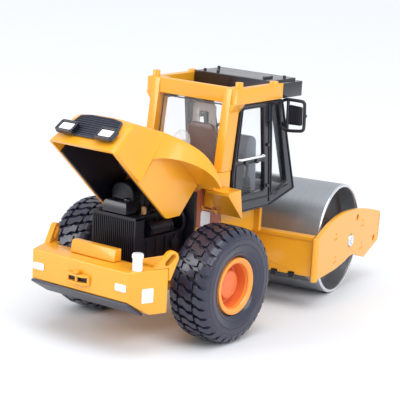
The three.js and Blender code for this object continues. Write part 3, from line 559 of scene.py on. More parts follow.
def add_rim(side, left):
    """A deep dished rim: outer lip, drop centre, flat floor with bolts, and a raised hub."""
    bm = drawing()
    profile = [
        (2.05, -20.6), (6, -20.6), (6.6, -22), (10.05, -22.4), (10.05, -33.6), (7.86, -33.6), (7.65, -30.2),
        (7.2, -28.9), (6.7, -28.6), (5.4, -28.5), (5.1, -28.8), (4.95, -30.9), (4.7, -31.3), (4.3, -31.4),
        (0, -31.4), (0, -31), (2.05, -31),
    ]
    revolve(bm, profile, (0, AXLE_Z), 72)
    for x, z in circle(6.05, 8):
        rod(bm, (x, -28.3, AXLE_Z + z), (x, -29.1, AXLE_Z + z), 0.42, 6)
    # The dish's darker, redder colour is painted shade.
    piece(f"dished_rim_{side}", bm, "orange_plastic", RIM_DISH_PAINTED_SHADE, [f"wheel_rim_{side}"], 0, 2, 32,
          left=left, body="rear_wheels")
    bm = drawing()
    lip = [
        (10.05, -33.5), (10.05, -34), (9.92, -34.4), (9.6, -34.55), (9.3, -34.55), (9.2, -34.42),
        (9.05, -34.5), (8.35, -34.25), (7.98, -33.85), (7.8, -33.2), (7.76, -32.4), (7.9, -32.4), (8, -33.5),
    ]
    revolve(bm, lip, (0, AXLE_Z), 96)
    # The lip's lighter colour is painted light.
    piece(f"rim_lip_{side}", bm, "orange_plastic", RIM_LIP_PAINTED_LIGHT, sharp=40, left=left, body="rear_wheels")


for side, left in SIDES:
    add_tyre(side, left)
    add_rim(side, left)


# ---- hood
# Stations along the hood: x, half width at the foot, half width at the shoulder, shoulder and ridge height.
HOOD_STATIONS = [
    (-40, 14.3, 12.4, 44.2, 45.6), (-32.7, 14.4, 12.8, 47.4, 48.6), (-23.8, 14.7, 13.6, 50.8, 51.9),
    (-17.8, 16.4, 15.4, 52.8, 53.9), (-12.9, 19.2, 18.2, 54.1, 55.4), (-7.3, 22.4, 21.4, 54.6, 56.7),
    (-3.2, 24, 23.2, 54, 57.5), (0.7, 24.9, 24.4, 52.8, 58), (6.1, 25.2, 24.9, 50.6, 58.3),
]
HOOD_LOW = 31.8
HOOD_REAR = -38.5
HOOD_FRONT = 5.9
REAR_LEAN = 3.9 / 14.8            # the rear face leans forward by this much for each unit up
ARCH_R = 29.5
ARCH_REAR = -20.9
BAY_HALF = 13.2
WALL = 1.0
REAR_WALL = 1.3
FRONT_LIP = 4.8


def hood_at(x):
    """The hood's widths and heights at x, on a smooth curve through its stations."""
    last = len(HOOD_STATIONS) - 1
    i = max(k for k in range(last) if HOOD_STATIONS[k][0] <= x or k == 0)
    a, b = HOOD_STATIONS[i], HOOD_STATIONS[i + 1]
    before, after = HOOD_STATIONS[max(i - 1, 0)], HOOD_STATIONS[min(i + 2, last)]
    span = b[0] - a[0]
    t = (x - a[0]) / span
    values = []
    for k in range(1, 5):
        slope_a = (b[k] - before[k]) / (b[0] - before[0]) * span
        slope_b = (after[k] - a[k]) / (after[0] - a[0]) * span
        values.append((2 * t ** 3 - 3 * t * t + 1) * a[k] + (t ** 3 - 2 * t * t + t) * slope_a
                      + (3 * t * t - 2 * t ** 3) * b[k] + (t ** 3 - t * t) * slope_b)
    return values


def flank_foot(x, ahead):
    """Height of the flank's lower edge: level, then the wheel arch."""
    if x < ARCH_REAR or (x == ARCH_REAR and not ahead):
        return HOOD_LOW
    return AXLE_Z + sqrt(ARCH_R ** 2 - x * x)


WALL_FOOT = HOOD_LOW - 0.4
WALL_END = [(4.6, 34.5), (6.6, 36.3), (7.1, 49.3), (4.6, 49.3)]
LIP_LOW = 53.5
EASE = 1.7                        # how far the rounding of the rear edges reaches


def wall_foot(x):
    """Height of the lower edge of the wall beside the engine bay."""
    return WALL_FOOT + max(0, x - 1.2) * 0.907


def bay_roof(shoulder_z, ridge_z):
    """Half of the roof over the engine bay, from its wall to the middle."""
    low = min(shoulder_z, ridge_z - 1.6) - 1.3
    return [(BAY_HALF, low), (9, ridge_z - 2), (4.5, ridge_z - 1.7), (0, ridge_z - 1.5)]


def leaned(x, points):
    """A section at x in place, leaning forwards more and more towards the rear face."""
    blend = max(0, (ARCH_REAR - x) / (ARCH_REAR - HOOD_REAR))
    return [(x + blend * REAR_LEAN * (z - HOOD_LOW), -y, z) for y, z in points]


def hood_section(x, ahead):
    """One closed section of the hood, drawn for the right side and repeated for the left."""
    foot, shoulder, shoulder_z, ridge_z = hood_at(x)
    ease = max(0, 1 - (x - HOOD_REAR) / EASE) ** 2 * EASE
    foot, shoulder, shoulder_z, ridge_z = foot - ease, shoulder - ease, shoulder_z - ease, ridge_z - ease
    low = flank_foot(x, ahead)
    wall_low = min(wall_foot(x), low)
    edge = min(shoulder - 1.6, 11.6)
    rise = ridge_z - 0.9 - shoulder_z
    outer = [
        (0, ridge_z), (2.5, ridge_z - 0.04), (5, ridge_z - 0.15), (8.5, ridge_z - 0.45),
        (edge, ridge_z - 0.9),
        (edge + (shoulder - edge) * 0.5, shoulder_z + rise * 0.5 + 0.1),
        (shoulder - 0.7, shoulder_z + 0.12 + rise * 0.04), (shoulder - 0.22, shoulder_z - 0.1),
        (shoulder + 0.05, shoulder_z - 0.5), (shoulder + 0.18, shoulder_z - 1.1),
        (shoulder + 0.35, max(shoulder_z - 2.2, low + 0.2)), (foot, low),
    ]
    out = min(BAY_HALF + WALL, foot - 0.05)
    inner = [(out, low), (out, wall_low), (BAY_HALF, wall_low)]
    top = bay_roof(shoulder_z, ridge_z)
    if x < HOOD_REAR + REAR_WALL or (x == HOOD_REAR + REAR_WALL and not ahead):
        top = [(y, wall_low) for y, _ in top]
    elif x > FRONT_LIP or (x == FRONT_LIP and ahead):
        top = [(y, LIP_LOW) for y, _ in top]
    return leaned(x, both_sides(outer + inner + top))


def hood_places():
    """Where the sections stand: a step of about a millimetre, and two sections at each sudden change."""
    jumps = [HOOD_REAR + REAR_WALL, ARCH_REAR, FRONT_LIP]
    steps = [HOOD_REAR + (HOOD_FRONT - HOOD_REAR) * i / 44 for i in range(45)]
    plain = [(x, True) for x in steps if all(abs(x - jump) > 0.3 for jump in jumps)]
    eased = [(HOOD_REAR + EASE * share, True) for share in (0.15, 0.32, 0.55, 0.8)]
    return sorted(plain + eased + [(x, ahead) for x in jumps for ahead in (False, True)])


def add_hood():
    bm = drawing()
    loft(bm, [hood_section(x, ahead) for x, ahead in hood_places()])
    bmesh.ops.remove_doubles(bm, verts=bm.verts, dist=1e-3)
    bmesh.ops.dissolve_degenerate(bm, edges=bm.edges, dist=1e-3)
    for low, high in ((-BAY_HALF - WALL - 0.03, -12), (12, BAY_HALF + WALL + 0.03)):
        prism(bm, WALL_END, low, high)
    for y in (-10.8, 5):
        revolve(bm, rectangle(0.92, y, 1.6, y + 5.8), (HINGE_X, HINGE_Z), 24)
        box(bm, (5, HINGE_X - 0.95), (y, y + 5.8), (HINGE_Z - 1.6, HINGE_Z - 0.3))
    piece("hood_cover", bm, "yellow_paint", YELLOW, ["hood_shell"], 0.22, 2, 42, body="hood")


def add_hood_liner():
    """The black lining that covers the bay's walls and roof."""
    bm = drawing()
    gap, thick = 0.02, 0.9
    rings = []
    for x in [HOOD_REAR + 7 + i * 2 for i in range(18)]:
        low = wall_foot(x) + 0.05
        side = [(BAY_HALF, low)] + bay_roof(*hood_at(x)[2:])
        near, far = ([(y - step if y > 9 else y, z - (step if z > low else 0)) for y, z in side]
                     for step in (gap, gap + thick))
        rings.append(leaned(x, both_sides(near) + both_sides(far)[::-1]))
    loft(bm, rings)
    for y in (-8, -2.7, 2.7, 8):
        rod(bm, (-29, y, hood_at(-29)[3] - 2.25), (-16, y, hood_at(-16)[3] - 2.3), 0.35, 8)
    piece("hood_liner", bm, "black_plastic", LINER, sharp=30, body="hood")


REAR_TILT = Matrix.Rotation(atan(REAR_LEAN), 4, "Y")
REAR_FACE = HOOD @ Matrix.Translation((HOOD_REAR, 0, HOOD_LOW)) @ REAR_TILT
GRILLE_HALF = [(10.9, 3.2), (10.3, 8.6), (9, 12.8), (4.6, 13.6)]
GRILLE_OUTLINE = both_sides(GRILLE_HALF)
GRILLE_SLATS = 9


def add_grille():
    """A dark grille in a rounded frame, its slats tilted to shed rain."""
    bm = drawing()
    outer = rounded(GRILLE_OUTLINE, 1.5)
    plate(bm, outer, [rounded(inset(GRILLE_OUTLINE, 0.6), 0.9)], "yz", -0.85, -0.25, 0.12)
    plate(bm, rounded(inset(GRILLE_OUTLINE, 0.4), 1), [], "yz", -0.5, -0.25, 0.05)
    low, high = 4.3, 12.4
    for i in range(GRILLE_SLATS):
        z = low + (high - low) * i / (GRILLE_SLATS - 1)
        half = 10.3 - max(0, z - 4) * 0.17
        prism(bm, [(-0.4, z - 0.4), (-0.85, z - 0.32), (-0.9, z - 0.16), (-0.4, z + 0.42)], -half, half)
    piece("grille_panel", bm, "dark_grey_plastic", DARK, ["grille"], place=REAR_FACE, sharp=30, body="hood")


def add_headlight(side, left):
    """A black bezel with rounded corners around a ribbed white lens."""
    bm = drawing()
    middle, low, high = -8.5, 2.2, 7.4
    bezel = rectangle(middle - 3.7, low, middle + 3.7, high)
    hole = rounded(inset(bezel, 0.85), 0.5)
    plate(bm, rounded(bezel, 0.9), [hole], "yz", -2.9, -1.2, 0.22)
    plate(bm, rounded(inset(bezel, 0.3), 0.6), [], "yz", -1.9, -1.1, 0.1)
    piece(f"headlight_bezel_{side}", bm, "black_plastic", GLOSS_BLACK, [f"headlight_housing_{side}"],
          place=REAR_FACE, **CRISP, left=left, body="hood")
    bm = drawing()
    plate(bm, rounded(inset(bezel, 0.95), 0.45), [], "yz", -2.55, -1.9, 0.25)
    for y in (-2, 0, 2):
        rod(bm, (-2.5, middle + y, low + 1.2), (-2.5, middle + y, high - 1.2), 0.14, 8)
    piece(f"headlight_face_{side}", bm, "white_plastic", LENS, [f"headlight_lens_{side}"], place=REAR_FACE,
          **CRISP, left=left, body="hood")


add_hood()
add_hood_liner()
add_grille()
for side, left in SIDES:
    add_headlight(side, left)


# ---- engine bay
def add_radiator():
    """A core of fine upright fins in a plain frame, with the coolant tank on top."""
    bm = drawing()
    box(bm, (-24.9, -20.8), (-9.5, 9.5), (27.2, 43))
    fins, half = 22, 9.0
    for i in range(fins):
        y = -half + 2 * half * i / (fins - 1)
        prism_at = [(-25.5, y - 0.22), (-25.5, y + 0.22), (-24.7, y + 0.3), (-24.7, y - 0.3)]
        loft(bm, [[(a, b, z) for a, b in prism_at] for z in (28.3, 42.6)])
    box(bm, (-25.7, -20.8), (-9.6, 9.6), (42.5, 43.65))
    box(bm, (-25.7, -20.8), (-9.6, 9.6), (27.2, 28.4))
    for y in (-9.6, 9.1):
        box(bm, (-25.6, -20.8), (y, y + 0.5), (27.4, 43.4))
    piece("radiator_core", bm, "black_plastic", ENGINE, ["radiator"], 0.08, 1)
    bm = drawing()
    levels = [(-25.2, -4.8, -19.6, 5.8, 43.9), (-24.9, -4.6, -19.6, 5.6, 47), (-24.1, -4.1, -20.2, 5.1, 48)]
    loft(bm, [[(x, y, z) for x, y in rectangle(*sides)] for *sides, z in levels])
    turn_z(bm, [(0, 47.9), (1.3, 47.9), (1.3, 48.6), (1.1, 48.95), (0, 49)], (-21.6, -2.4), 20)
    piece("coolant_tank", bm, "dark_grey_plastic", BLACK, ["radiator_tank"], 0.2, 2)


def add_engine():
    """Block, sump, rocker cover, air box, filter canisters, hoses and small fittings."""
    bm = drawing()
    box(bm, (-19.8, 2.1), (-8.5, 8.5), (27.2, 35.4))
    box(bm, (-17.4, -1.6), (-5.1, 5.1), (35, 42.4))
    dome = [(0.7, 40), (11.1, 40), (11.1, 48.4), (10.6, 50.2), (9.3, 51.6), (7.4, 52.3), (4.6, 52.3),
            (2.6, 51.5), (1.2, 50.1), (0.7, 48.2)]
    loft(bm, [[(x, y, z) for y, z in (dome if x > -14 and x < 1 else inset(dome, 0.5))]
              for x in (-14.4, -13.8, 0.9, 1.5)])
    for x in (-11.5, -8.5, -5.5, -2.5):
        box(bm, (x, x + 0.5), (0.4, 11.4), (42, 47.6))
    for y, z, radius, front in ((-6.6, 37.9, 2.55, -4), (6.2, 37.2, 1.85, -6)):
        rod(bm, (-16, y, z), (front, y, z), radius, 28)
        for x in (-15.2, front - 1.2):
            rod(bm, (x, y, z), (x + 0.5, y, z), radius + 0.25, 28)
    for x in (-15, -11.5, -8, -4.5):
        rod(bm, (x, -3.6, 42.2), (x, -3.6, 43.1), 0.7, 12)
        rod(bm, (x, -5, 39.5), (x, -7.6, 41.2), 0.45, 10)
    for x in (-18, -13, -8, -3):
        box(bm, (x, x + 1.6), (-8.9, -8.4), (28.5, 34.6))
    rod(bm, (-3, -8.2, 31.5), (-3, -9.4, 31.5), 2.1, 24)
    hoses = (
        (0.6, [(-19, -3.5, 40), (-17.5, -5.5, 43.5), (-13, -6.4, 44.6), (-7, -5.8, 43.4), (-3, -5.2, 40)]),
        (0.5, [(-19.2, 6.5, 40), (-16.5, 8.6, 41.5), (-12, 9, 38), (-11, 8.6, 33)]),
        (0.7, [(1, -7, 33), (2.4, -8.6, 37), (1.5, -7.5, 42), (-1, -2, 45.6), (-1.5, 1, 46)]),
    )
    for radius, points in hoses:
        tube(bm, smooth_path(points), radius, 10)
    piece("engine_assembly", bm, "black_plastic", ENGINE, ["engine_block"], 0.12, 1, 40)
    bm = drawing()
    cap = [(0, 43.4), (0.75, 43.4), (0.95, 43.8), (0.95, 45.6), (0.7, 46), (0, 46.1)]
    turn_z(bm, cap, (-17.3, -6.3), 20)
    piece("oil_filler_cap", bm, "orange_plastic", TAN)


add_radiator()
add_engine()


# ---- rear bumper
# Frame of the splayed right end: x runs forward along it from its rear corner, and y points inwards.
SPLAY = atan2(5.3, 14.4)
END_FRAME = Matrix.Translation((-42.4, -21.3, 0)) @ Matrix.Rotation(-SPLAY, 4, "Z")


def add_tow_jaw():
    """Two tapered jaw plates with the coupling pin through them, over a dark gap whose shade is painted on
    with a black plate.
    """
    bm = drawing()
    jaw = [(-42.58, -5.2), (-42.58, 5.2), (-43.4, 4.5), (-44.4, 2.7), (-44.4, -2.7), (-43.4, -4.5)]
    hole = circle(0.62, 16, (-43.7, 0))
    plate(bm, rounded(jaw, 0.4), [hole], "xy", 22.5, 23.3, 0.15)
    plate(bm, rounded(jaw, 0.4), [hole], "xy", 25.1, 25.9, 0.15)
    for y in (-5, 4.1):
        box(bm, (-43.1, -42.56), (y, y + 0.9), (22.9, 25.5))
    pin = [(0, 22.1), (0.5, 22.1), (0.5, 26.2), (0.95, 26.25), (0.95, 26.75), (0.6, 27), (0, 27)]
    turn_z(bm, pin, (-43.7, 0), 20)
    piece("towing_jaw", bm, "yellow_paint", YELLOW, ["tow_hook"], **CRISP)
    bm = drawing()
    # Painted shade: a black plate on the bumper's face between the jaws stands for the shadow in the gap.
    plate(bm, rounded(rectangle(-4.2, 23.2, 4.2, 25.2), 0.4), [], "yz", -42.68, -42.5, 0.05)
    piece("jaw_gap_painted_shade", bm, "black_plastic", LINER, sharp=50)


def add_lamp():
    bm = drawing()
    low = 30.25
    profile = [(0, 0), (1.7, 0), (1.7, 4.1), (1.95, 4.25), (1.95, 5.3), (1.7, 5.7), (0, 5.8)]
    turn_z(bm, [(r, low + z) for r, z in profile], (-37.6, -20.9), 40)
    piece("marker_lamp_body", bm, "white_plastic", LENS, ["marker_lamp"], sharp=40)


def add_bumper_trim(side, left):
    """A reflector in a bezel, and the lifting ear that carries the bumper's end upwards."""
    bm = drawing()
    shape = rectangle(-20.6, 23.4, -15.8, 25.9)
    plate(bm, rounded(shape, 0.5), [], "yz", -42.7, -42.5, 0.1)
    plate(bm, rounded(inset(shape, 0.35), 0.3), [], "yz", -42.85, -42.6, 0.1)
    piece(f"reflector_face_{side}", bm, "white_plastic", WHITE, [f"reflector_{side}"], **CRISP, left=left)
    bm = drawing()
    head = arc((16.6, 33.4), 2.6, -0.35, 2.55, 16)
    slot = arc((17, 33.9), 0.9, -0.8, 3.15, 8) + arc((14.9, 31.9), 0.9, 2.35, 3.15, 8)
    plate(bm, [(9.8, 30.22), (15.36, 30.22), (15.36, 26), (16.3, 26)] + head, [slot], "xz", 0.05, 2.1, 0.35)
    bm.transform(END_FRAME)
    if not left:
        web = [(-25.6, 30.3), (-16, 30.3), (-16, 31.8), (-25.6, 34.8)]
        plate(bm, web, [], "yz", -29.8, -28.8, 0.2)
    piece(f"slotted_ear_{side}", bm, "yellow_paint", YELLOW, [f"lifting_ear_{side}"], **CRISP, left=left)


def add_label():
    """A blank plate on the bumper's right end."""
    bm = drawing()
    shape = rectangle(5.25, 19.3, 9.65, 24.2)
    plate(bm, rounded(shape, 0.35), [], "xz", -0.16, 0.02, 0.05)
    bm.transform(END_FRAME)
    piece("blank_label", bm, "white_plastic", WHITE, sharp=50)


add_tow_jaw()
add_lamp()
add_label()
for side, left in SIDES:
    add_bumper_trim(side, left)


# ---- cab
DOOR = [(20.1, 79), (17.4, 55.3), (17.4, 50), (18.4, 39.7), (40.9, 39.7), (57.4, 44.2), (46.1, 79)]
DOOR_LIGHTS = [
    [(21.6, 77.2), (33.9, 77.2), (36.2, 59.2), (19.8, 59.2)],
    [(19.6, 57.2), (36.4, 57.2), (37.6, 46.2), (19.6, 46.2)],
    [(39.4, 77.4), (43.7, 77.4), (51.6, 47.8), (45.2, 43.9), (42.4, 44.9)],
]
DOOR_FACE = -17.8


def add_door(side, left):
    """A glossy black frame with raised seals round its edge and its three lights, and its small fittings."""
    face = DOOR_FACE
    bm = drawing()
    plate(bm, rounded(DOOR, 0.7), [rounded(light, 0.7) for light in DOOR_LIGHTS], "xz", face, -16.3, 0.22)
    rim = inset(DOOR, 0.15)
    plate(bm, rounded(rim, 0.7), [rounded(inset(rim, 0.55), 0.5)], "xz", face - 0.4, face + 0.1, 0.18)
    for light in DOOR_LIGHTS:
        seal = inset(light, -0.5)
        plate(bm, rounded(seal, 0.9), [rounded(light, 0.7)], "xz", face - 0.3, face + 0.1, 0.14)
    tube(bm, [(41.2, face - 0.15, 41.6), (37.6, face - 0.15, 78)], 0.3, 8)
    tube(bm, [(19.6, face - 0.15, 43.6), (41, face - 0.15, 43.6), (52.6, face - 0.15, 46.2)],
         0.28, 8)
    for x, z in ((38.1, 71.1), (37.9, 63), (38.9, 47.8)):
        rod(bm, (x, face + 0.2, z), (x, face - 0.75, z), 0.75, 16, 0.6)
    for x in (25.1, 31.9):
        rod(bm, (x, face + 0.2, 57.9), (x, face - 0.6, 57.9), 1.15, 20, 0.95)
    piece(f"door_surround_{side}", bm, "black_plastic", GLOSS_BLACK, [f"door_frame_{side}"], **CRISP,
          left=left)
    bm = drawing()
    foot, out, z = face - 0.1, face - 1.1, 59.4
    tube(bm, [(20.3, foot, z), (20.35, out + 0.4, z), (20.7, out, z), (34.9, out, z), (35.25, out + 0.4, z),
              (35.3, foot, z)], 0.42, 14)
    piece(f"grab_rail_{side}", bm, "white_plastic", WHITE, [f"handrail_{side}"], sharp=60, left=left)


def add_mirror(side, left):
    """A black mirror head with slots above and below it, in a guard of round bar."""
    bm = drawing()
    x, y0, y1, z0, z1 = 46.6, -19.6, -25.9, 67.6, 79.0
    out = 1.9
    corner = 1.3
    guard = [
        (x, -17.9, z1 - 0.6), (x + 0.3, y0, z1 - 0.05), (x + out - 0.4, y1 + corner, z1 - 0.2),
        (x + out - 0.1, y1 + 0.4, z1 - 0.6), (x + out, y1, z1 - 0.4 - corner),
        (x + out, y1 - 0.3, z0 + 1.0 + corner),
        (x + out - 0.1, y1 + 0.1, z0 + 0.7), (x + out - 0.4, y1 + corner, z0 + 0.25), (x + 0.4, y0 - 0.4, z0),
        (x, -17.9, z0 + 0.9),
    ]
    tube(bm, smooth_path(guard, 4), 0.62, 12)
    tube(bm, [(x + 0.4, y0 - 0.1, z1 - 0.1), (x + 0.4, y0 - 0.3, z0 + 0.1)], 0.6, 12)
    head = [(y0 - 0.1, z0 + 2.1), (y0, z1 - 2), (y1 + 0.6, z1 - 2.2), (y1 + 0.3, z0 + 2.3)]
    plate(bm, rounded(head, 0.6), [], "yz", x + 0.8, x + 1.9, 0.3)
    for i in range(5):
        y = y0 - 0.9 - i * 1.0
        rod(bm, (x + 0.85, y, z0 + 3), (x + 0.85, y, z1 - 2.9), 0.16, 6)
    rod(bm, (x + 0.2, -18, z0 + 2.2), (x + 0.2, -19.9, z0 + 2.2), 0.8, 14)
    rod(bm, (x + out + 0.2, y1 + 0.2, 73.6), (x + out + 0.2, y1 - 0.9, 73.6), 0.55, 12)
    piece(f"guarded_mirror_{side}", bm, "black_plastic", BLACK, [f"mirror_{side}"], **CRISP, left=left)


def add_seat():
    """Moulded seat with a rounded back, and a smoked loop headrest behind it."""
    bm = drawing()
    rings = []
    sections = [
        (52.7, 5.6, 23, 24.6), (54.5, 6.3, 22.4, 24.8), (58, 6.8, 21.9, 24.7), (62, 6.95, 21.4, 24.2),
        (66, 6.8, 20.9, 23.6), (68.2, 6.3, 20.7, 23.2), (69.5, 5.5, 20.8, 22.8), (70.2, 4.4, 21.2, 22.3),
    ]
    for z, half, back, front in sections:
        outline = rounded([(back, -half), (front, -half + 0.5), (front, half - 0.5), (back, half)], 1.1)
        rings.append([(x, y, z) for x, y in outline])
    loft(bm, rings)
    cushion = rounded([(21.6, -6.6), (33.6, -6.2), (33.6, 6.2), (21.6, 6.6)], 1.8)
    rings = []
    for z, shrink in ((49.6, 0.7), (50.2, 0.15), (51.6, 0), (52.3, 0.4), (52.6, 1.4)):
        rings.append([(27.6 + (x - 27.6) * (1 - shrink / 6), y * (1 - shrink / 6.6), z) for x, y in cushion])
    loft(bm, rings)
    piece("moulded_seat", bm, "seat_plastic", SEAT, ["seat_cushion", "seat_backrest"], 0.3, 2, 50)
    bm = drawing()
    loop = rounded([(-5.2, 67.4), (5.2, 67.4), (4.9, 77.4), (-4.9, 77.4)], 1.4)
    gap = rounded([(-2.2, 69), (2.2, 69), (2.1, 74.4), (-2.1, 74.4)], 0.7)
    plate(bm, loop, [gap], "yz", 22.3, 23.4, 0.3)
    piece("headrest_loop", bm, "clear_glazing", SMOKE, **CRISP)


def add_controls():
    """Steering wheel, its console, and the travel lever in a ribbed boot."""
    bm = drawing()
    tube(bm, [(a, b, 0) for a, b in circle(4.6, 36)], 0.55, 12, loop=True)
    turn_z(bm, [(0, -0.6), (1.3, -0.6), (1.5, 0), (1.2, 0.5), (0, 0.7)], (0, 0), 24)
    for k in range(3):
        t = 2 * pi * k / 3 + 0.4
        tube(bm, [(cos(t), sin(t), -0.1), (4.4 * cos(t), 4.4 * sin(t), 0)], 0.4, 10)
    rod(bm, (0, 0, -5.5), (0, 0, 0), 0.7, 16)
    place = CHASSIS @ Matrix.Translation((34, 0, 65.5)) @ Matrix.Rotation(-0.7, 4, "Y")
    piece("steering_wheel_rim", bm, "black_plastic", BLACK, ["steering_wheel"], place=place, sharp=50)
    bm = drawing()
    ribs = [(0, 41.9)]
    for i in range(8):
        z = 42.2 + i * 1.0
        ribs += [(2.15 - i * 0.08, z), (2.2 - i * 0.08, z + 0.3), (1.55 - i * 0.07, z + 0.65)]
    ribs += [(0.6, 50.6), (0.5, 54.8), (0.75, 55), (1.1, 55.6), (1.1, 56.2), (0.7, 56.9), (0, 57.1)]
    turn_z(bm, ribs, (36.4, -10.6), 28)
    piece("travel_lever", bm, "black_plastic", BLACK, ["lever_boot"], sharp=60)
    bm = drawing()
    top = arc((42.2, 61), 3.2, 0, 2.6, 12)
    plate(bm, [(39.4, 41.7), (46.5, 43.5), (45.4, 60), *top, (38, 55)], [], "xz", -8, 8, 0.6)
    box(bm, (37.9, 39.6), (-4.6, 4.6), (56.6, 59.6))
    for y in (-6.4, 6.4):
        rod(bm, (39.2, y, 58), (37.9, y, 58.4), 0.8, 16)
    piece("instrument_console", bm, "grey_plastic", GREY, ["control_console"], **CRISP)


def add_bowl():
    """The air pre-cleaner: a clear bowl on a black foot."""
    bm = drawing()
    foot = 56.15
    turn_z(bm, [(0, foot), (1.2, foot), (1.2, foot + 5), (0, foot + 5)], (10.2, 0), 24)
    piece("precleaner_stem", bm, "black_plastic", BLACK)
    bm = drawing()
    bowl = [(0, 4.9), (1.6, 5.2), (2.7, 6.1), (3.1, 7.8), (3.05, 9.4), (2.5, 11.2), (1.4, 12.4), (0, 12.75)]
    turn_z(bm, [(r, foot + z) for r, z in bowl], (10.2, 0), 40)
    piece("precleaner_bowl", bm, "clear_glazing", CLEAR, ["air_precleaner"], sharp=70)


def add_window_seal():
    """The black seal round the rear window, inside the glass."""
    bm = drawing()
    low, high, half = 57.2, 79, 13.9
    foot, head = (12.4 + 1.05 + 0.134 * (z - 56.2) for z in (low, high))
    ring = [(foot, -half, low), (foot, half, low), (head, half, high), (head, -half, high)]
    tube(bm, ring, 0.3, 8, loop=True)
    piece("rear_window_seal", bm, "black_plastic", BLACK, sharp=60)


def add_base_fittings(side, left):
    """The dark terracotta panel, which is painted shade, the plate and the pipes on the side of the box that
    the cab stands on.
    """
    bm = drawing()
    # Painted shade: a thin terracotta sheet, thin lines included, where the cab base's side lies in shade.
    panel = [(5.3, 36), (20.5, 36), (18.8, 42), (15.8, 49.6), (5.3, 49.6)]
    plate(bm, rounded(panel, 0.5), [], "xz", -11.93, -11.6, 0.1)
    for x, z, end_x, end_z in ((8.4, 48.4, 14.6, 44.2), (8.4, 46.4, 14.6, 48.6), (8.4, 43.8, 16.6, 43.2)):
        rod(bm, (x, -11.9, z), (end_x, -11.9, end_z), 0.12, 8)
    piece(f"painted_shade_panel_{side}", bm, "orange_plastic", SHADE_TERRACOTTA, **CRISP, left=left)
    bm = drawing()
    plate(bm, rounded([(7.6, 36), (13.2, 36), (13.2, 40.4), (8.4, 41.8), (7.6, 41.2)], 0.3), [], "xz",
          -12.05, -11.6, 0.12)
    piece(f"step_plate_{side}", bm, "white_plastic", WHITE, **CRISP, left=left)
    bm = drawing()
    tube(bm, [(10.2, -12, 45), (14, -12.1, 41.8), (16.8, -12.1, 39.4)], 0.28, 8)
    tube(bm, [(8, -12, 42.6), (12.6, -12.1, 41.4), (22, -12.1, 39), (30, -12.1, 38.6)], 0.3, 8)
    rod(bm, (8.2, -11.6, 43.2), (8.2, -12.3, 43.2), 0.5, 12)
    piece(f"base_pipes_{side}", bm, "yellow_paint", YELLOW, sharp=50, left=left)


for side, left in SIDES:
    add_door(side, left)
    add_mirror(side, left)
add_seat()
add_controls()
add_bowl()
add_window_seal()
for side, left in SIDES:
    add_base_fittings(side, left)


# ---- roof
def add_roof_details():
    """Ribs in the well, and screws along the rear beam and the roof box."""
    bm = drawing()
    for y in (-12, -6, 0, 6, 12):
        box(bm, (22, 37), (y - 0.5, y + 0.5), (80.3, 80.9))
    for x in (22.2, 36.6):
        box(bm, (x - 0.4, x + 0.4), (-13.6, 13.6), (80.3, 80.9))
    for x, y in ((25, -9), (25, 9), (33, -9), (33, 9)):
        turn_z(bm, [(0, 80.3), (0.9, 80.3), (0.9, 81), (0.6, 81.2), (0, 81.2)], (x, y), 16)
    piece("well_ribs", bm, "black_plastic", GLOSS_BLACK, bevel=0.12)
    bm = drawing()
    for y in (-17.2, 17.2):
        rod(bm, (14.25, y, 82.4), (13.9, y, 82.4), 0.5, 14, 0.4)
    piece("beam_screws", bm, "yellow_paint", YELLOW, sharp=50)


add_roof_details()


# ---- drum frame
# HUB is the drum's centre as drawn: its distance ahead of the pivot, and its height.
DRUM = Vector(JOINTS["drum_spin"]["pos_m"])
HUB = (round((DRUM - PIVOT).xy.length / MM, 2), round(DRUM.z / MM, 2))
PLATE_IN, PLATE_OUT = -33.7, -35.5
BOLT_GROUPS = ((22.4, 25.8), (23, 16.8), (50.6, 26), (50.6, 16.8))


def yoke_outline():
    return [
        (4.4, 12.5), (23.7, 12.8), *bend((33.8, 14), (41, 16.4), (47.7, 13.4), 8), (47.7, 13.4), (54.7, 11.4),
        (69.8, 15.6), *bend((70.8, 26.4), (70.4, 27.8), (67.6, 28.2), 4),
        *bend((67.6, 28.2), (48, 33.4), (32, 33.9), 14), *bend((32, 33.9), (17, 33.8), (4.4, 28.2), 12),
        (4.4, 28.2),
    ]


def add_yoke(side, left):
    """A thick side plate with a round rear corner, drilled for the bearing and the vibrator's bolts."""
    bm = drawing()
    holes = [circle(2.6, 32, HUB), circle(1.25, 20, (44.6, 29.4)), circle(1.25, 20, (64.3, 17.4))]
    for x, z in BOLT_GROUPS:
        for dx, dz in ((-1, -0.9), (0.9, -0.9), (0.1, 1.1)):
            holes.append(circle(0.42, 10, (x + dx, z + dz)))
    for k in range(5):
        holes.append(circle(0.36, 10, (68.9, 18.4 + k * 1.9)))
    plate(bm, yoke_outline(), holes, "xz", PLATE_OUT, PLATE_IN, 0.3)
    corner = arc((5.4, -33.9), 1.8, pi, pi, 16)
    plate(bm, corner, [], "xy", 11.9, 28.7, 0.2)
    piece(f"yoke_side_{side}", bm, "yellow_paint", YELLOW, [f"yoke_plate_{side}"], **CRISP, left=left,
          body="drum_frame")
    bm = drawing()
    cap = [(2.05, -32.9), (2.4, -33), (2.4, -35.6), (2.2, -35.9), (1.5, -35.9), (1.35, -35.7), (0.001, -35.7),
           (0.001, -34.6), (2.05, -34.6)]
    sleeve = [(2.15, -33.5), (4.5, -33.5), (4.6, -33.2), (4.6, -26.2), (4.3, -26), (2.15, -26)]
    revolve(bm, cap, HUB, 40)
    revolve(bm, sleeve, HUB, 48)
    rod(bm, (HUB[0], -35.6, HUB[1]), (HUB[0], -35.98, HUB[1]), 0.9, 6)
    piece(f"hub_bearing_{side}", bm, "bright_steel", BRIGHT_STEEL, [f"drum_bearing_{side}"], sharp=40,
          left=left, body="drum_frame")


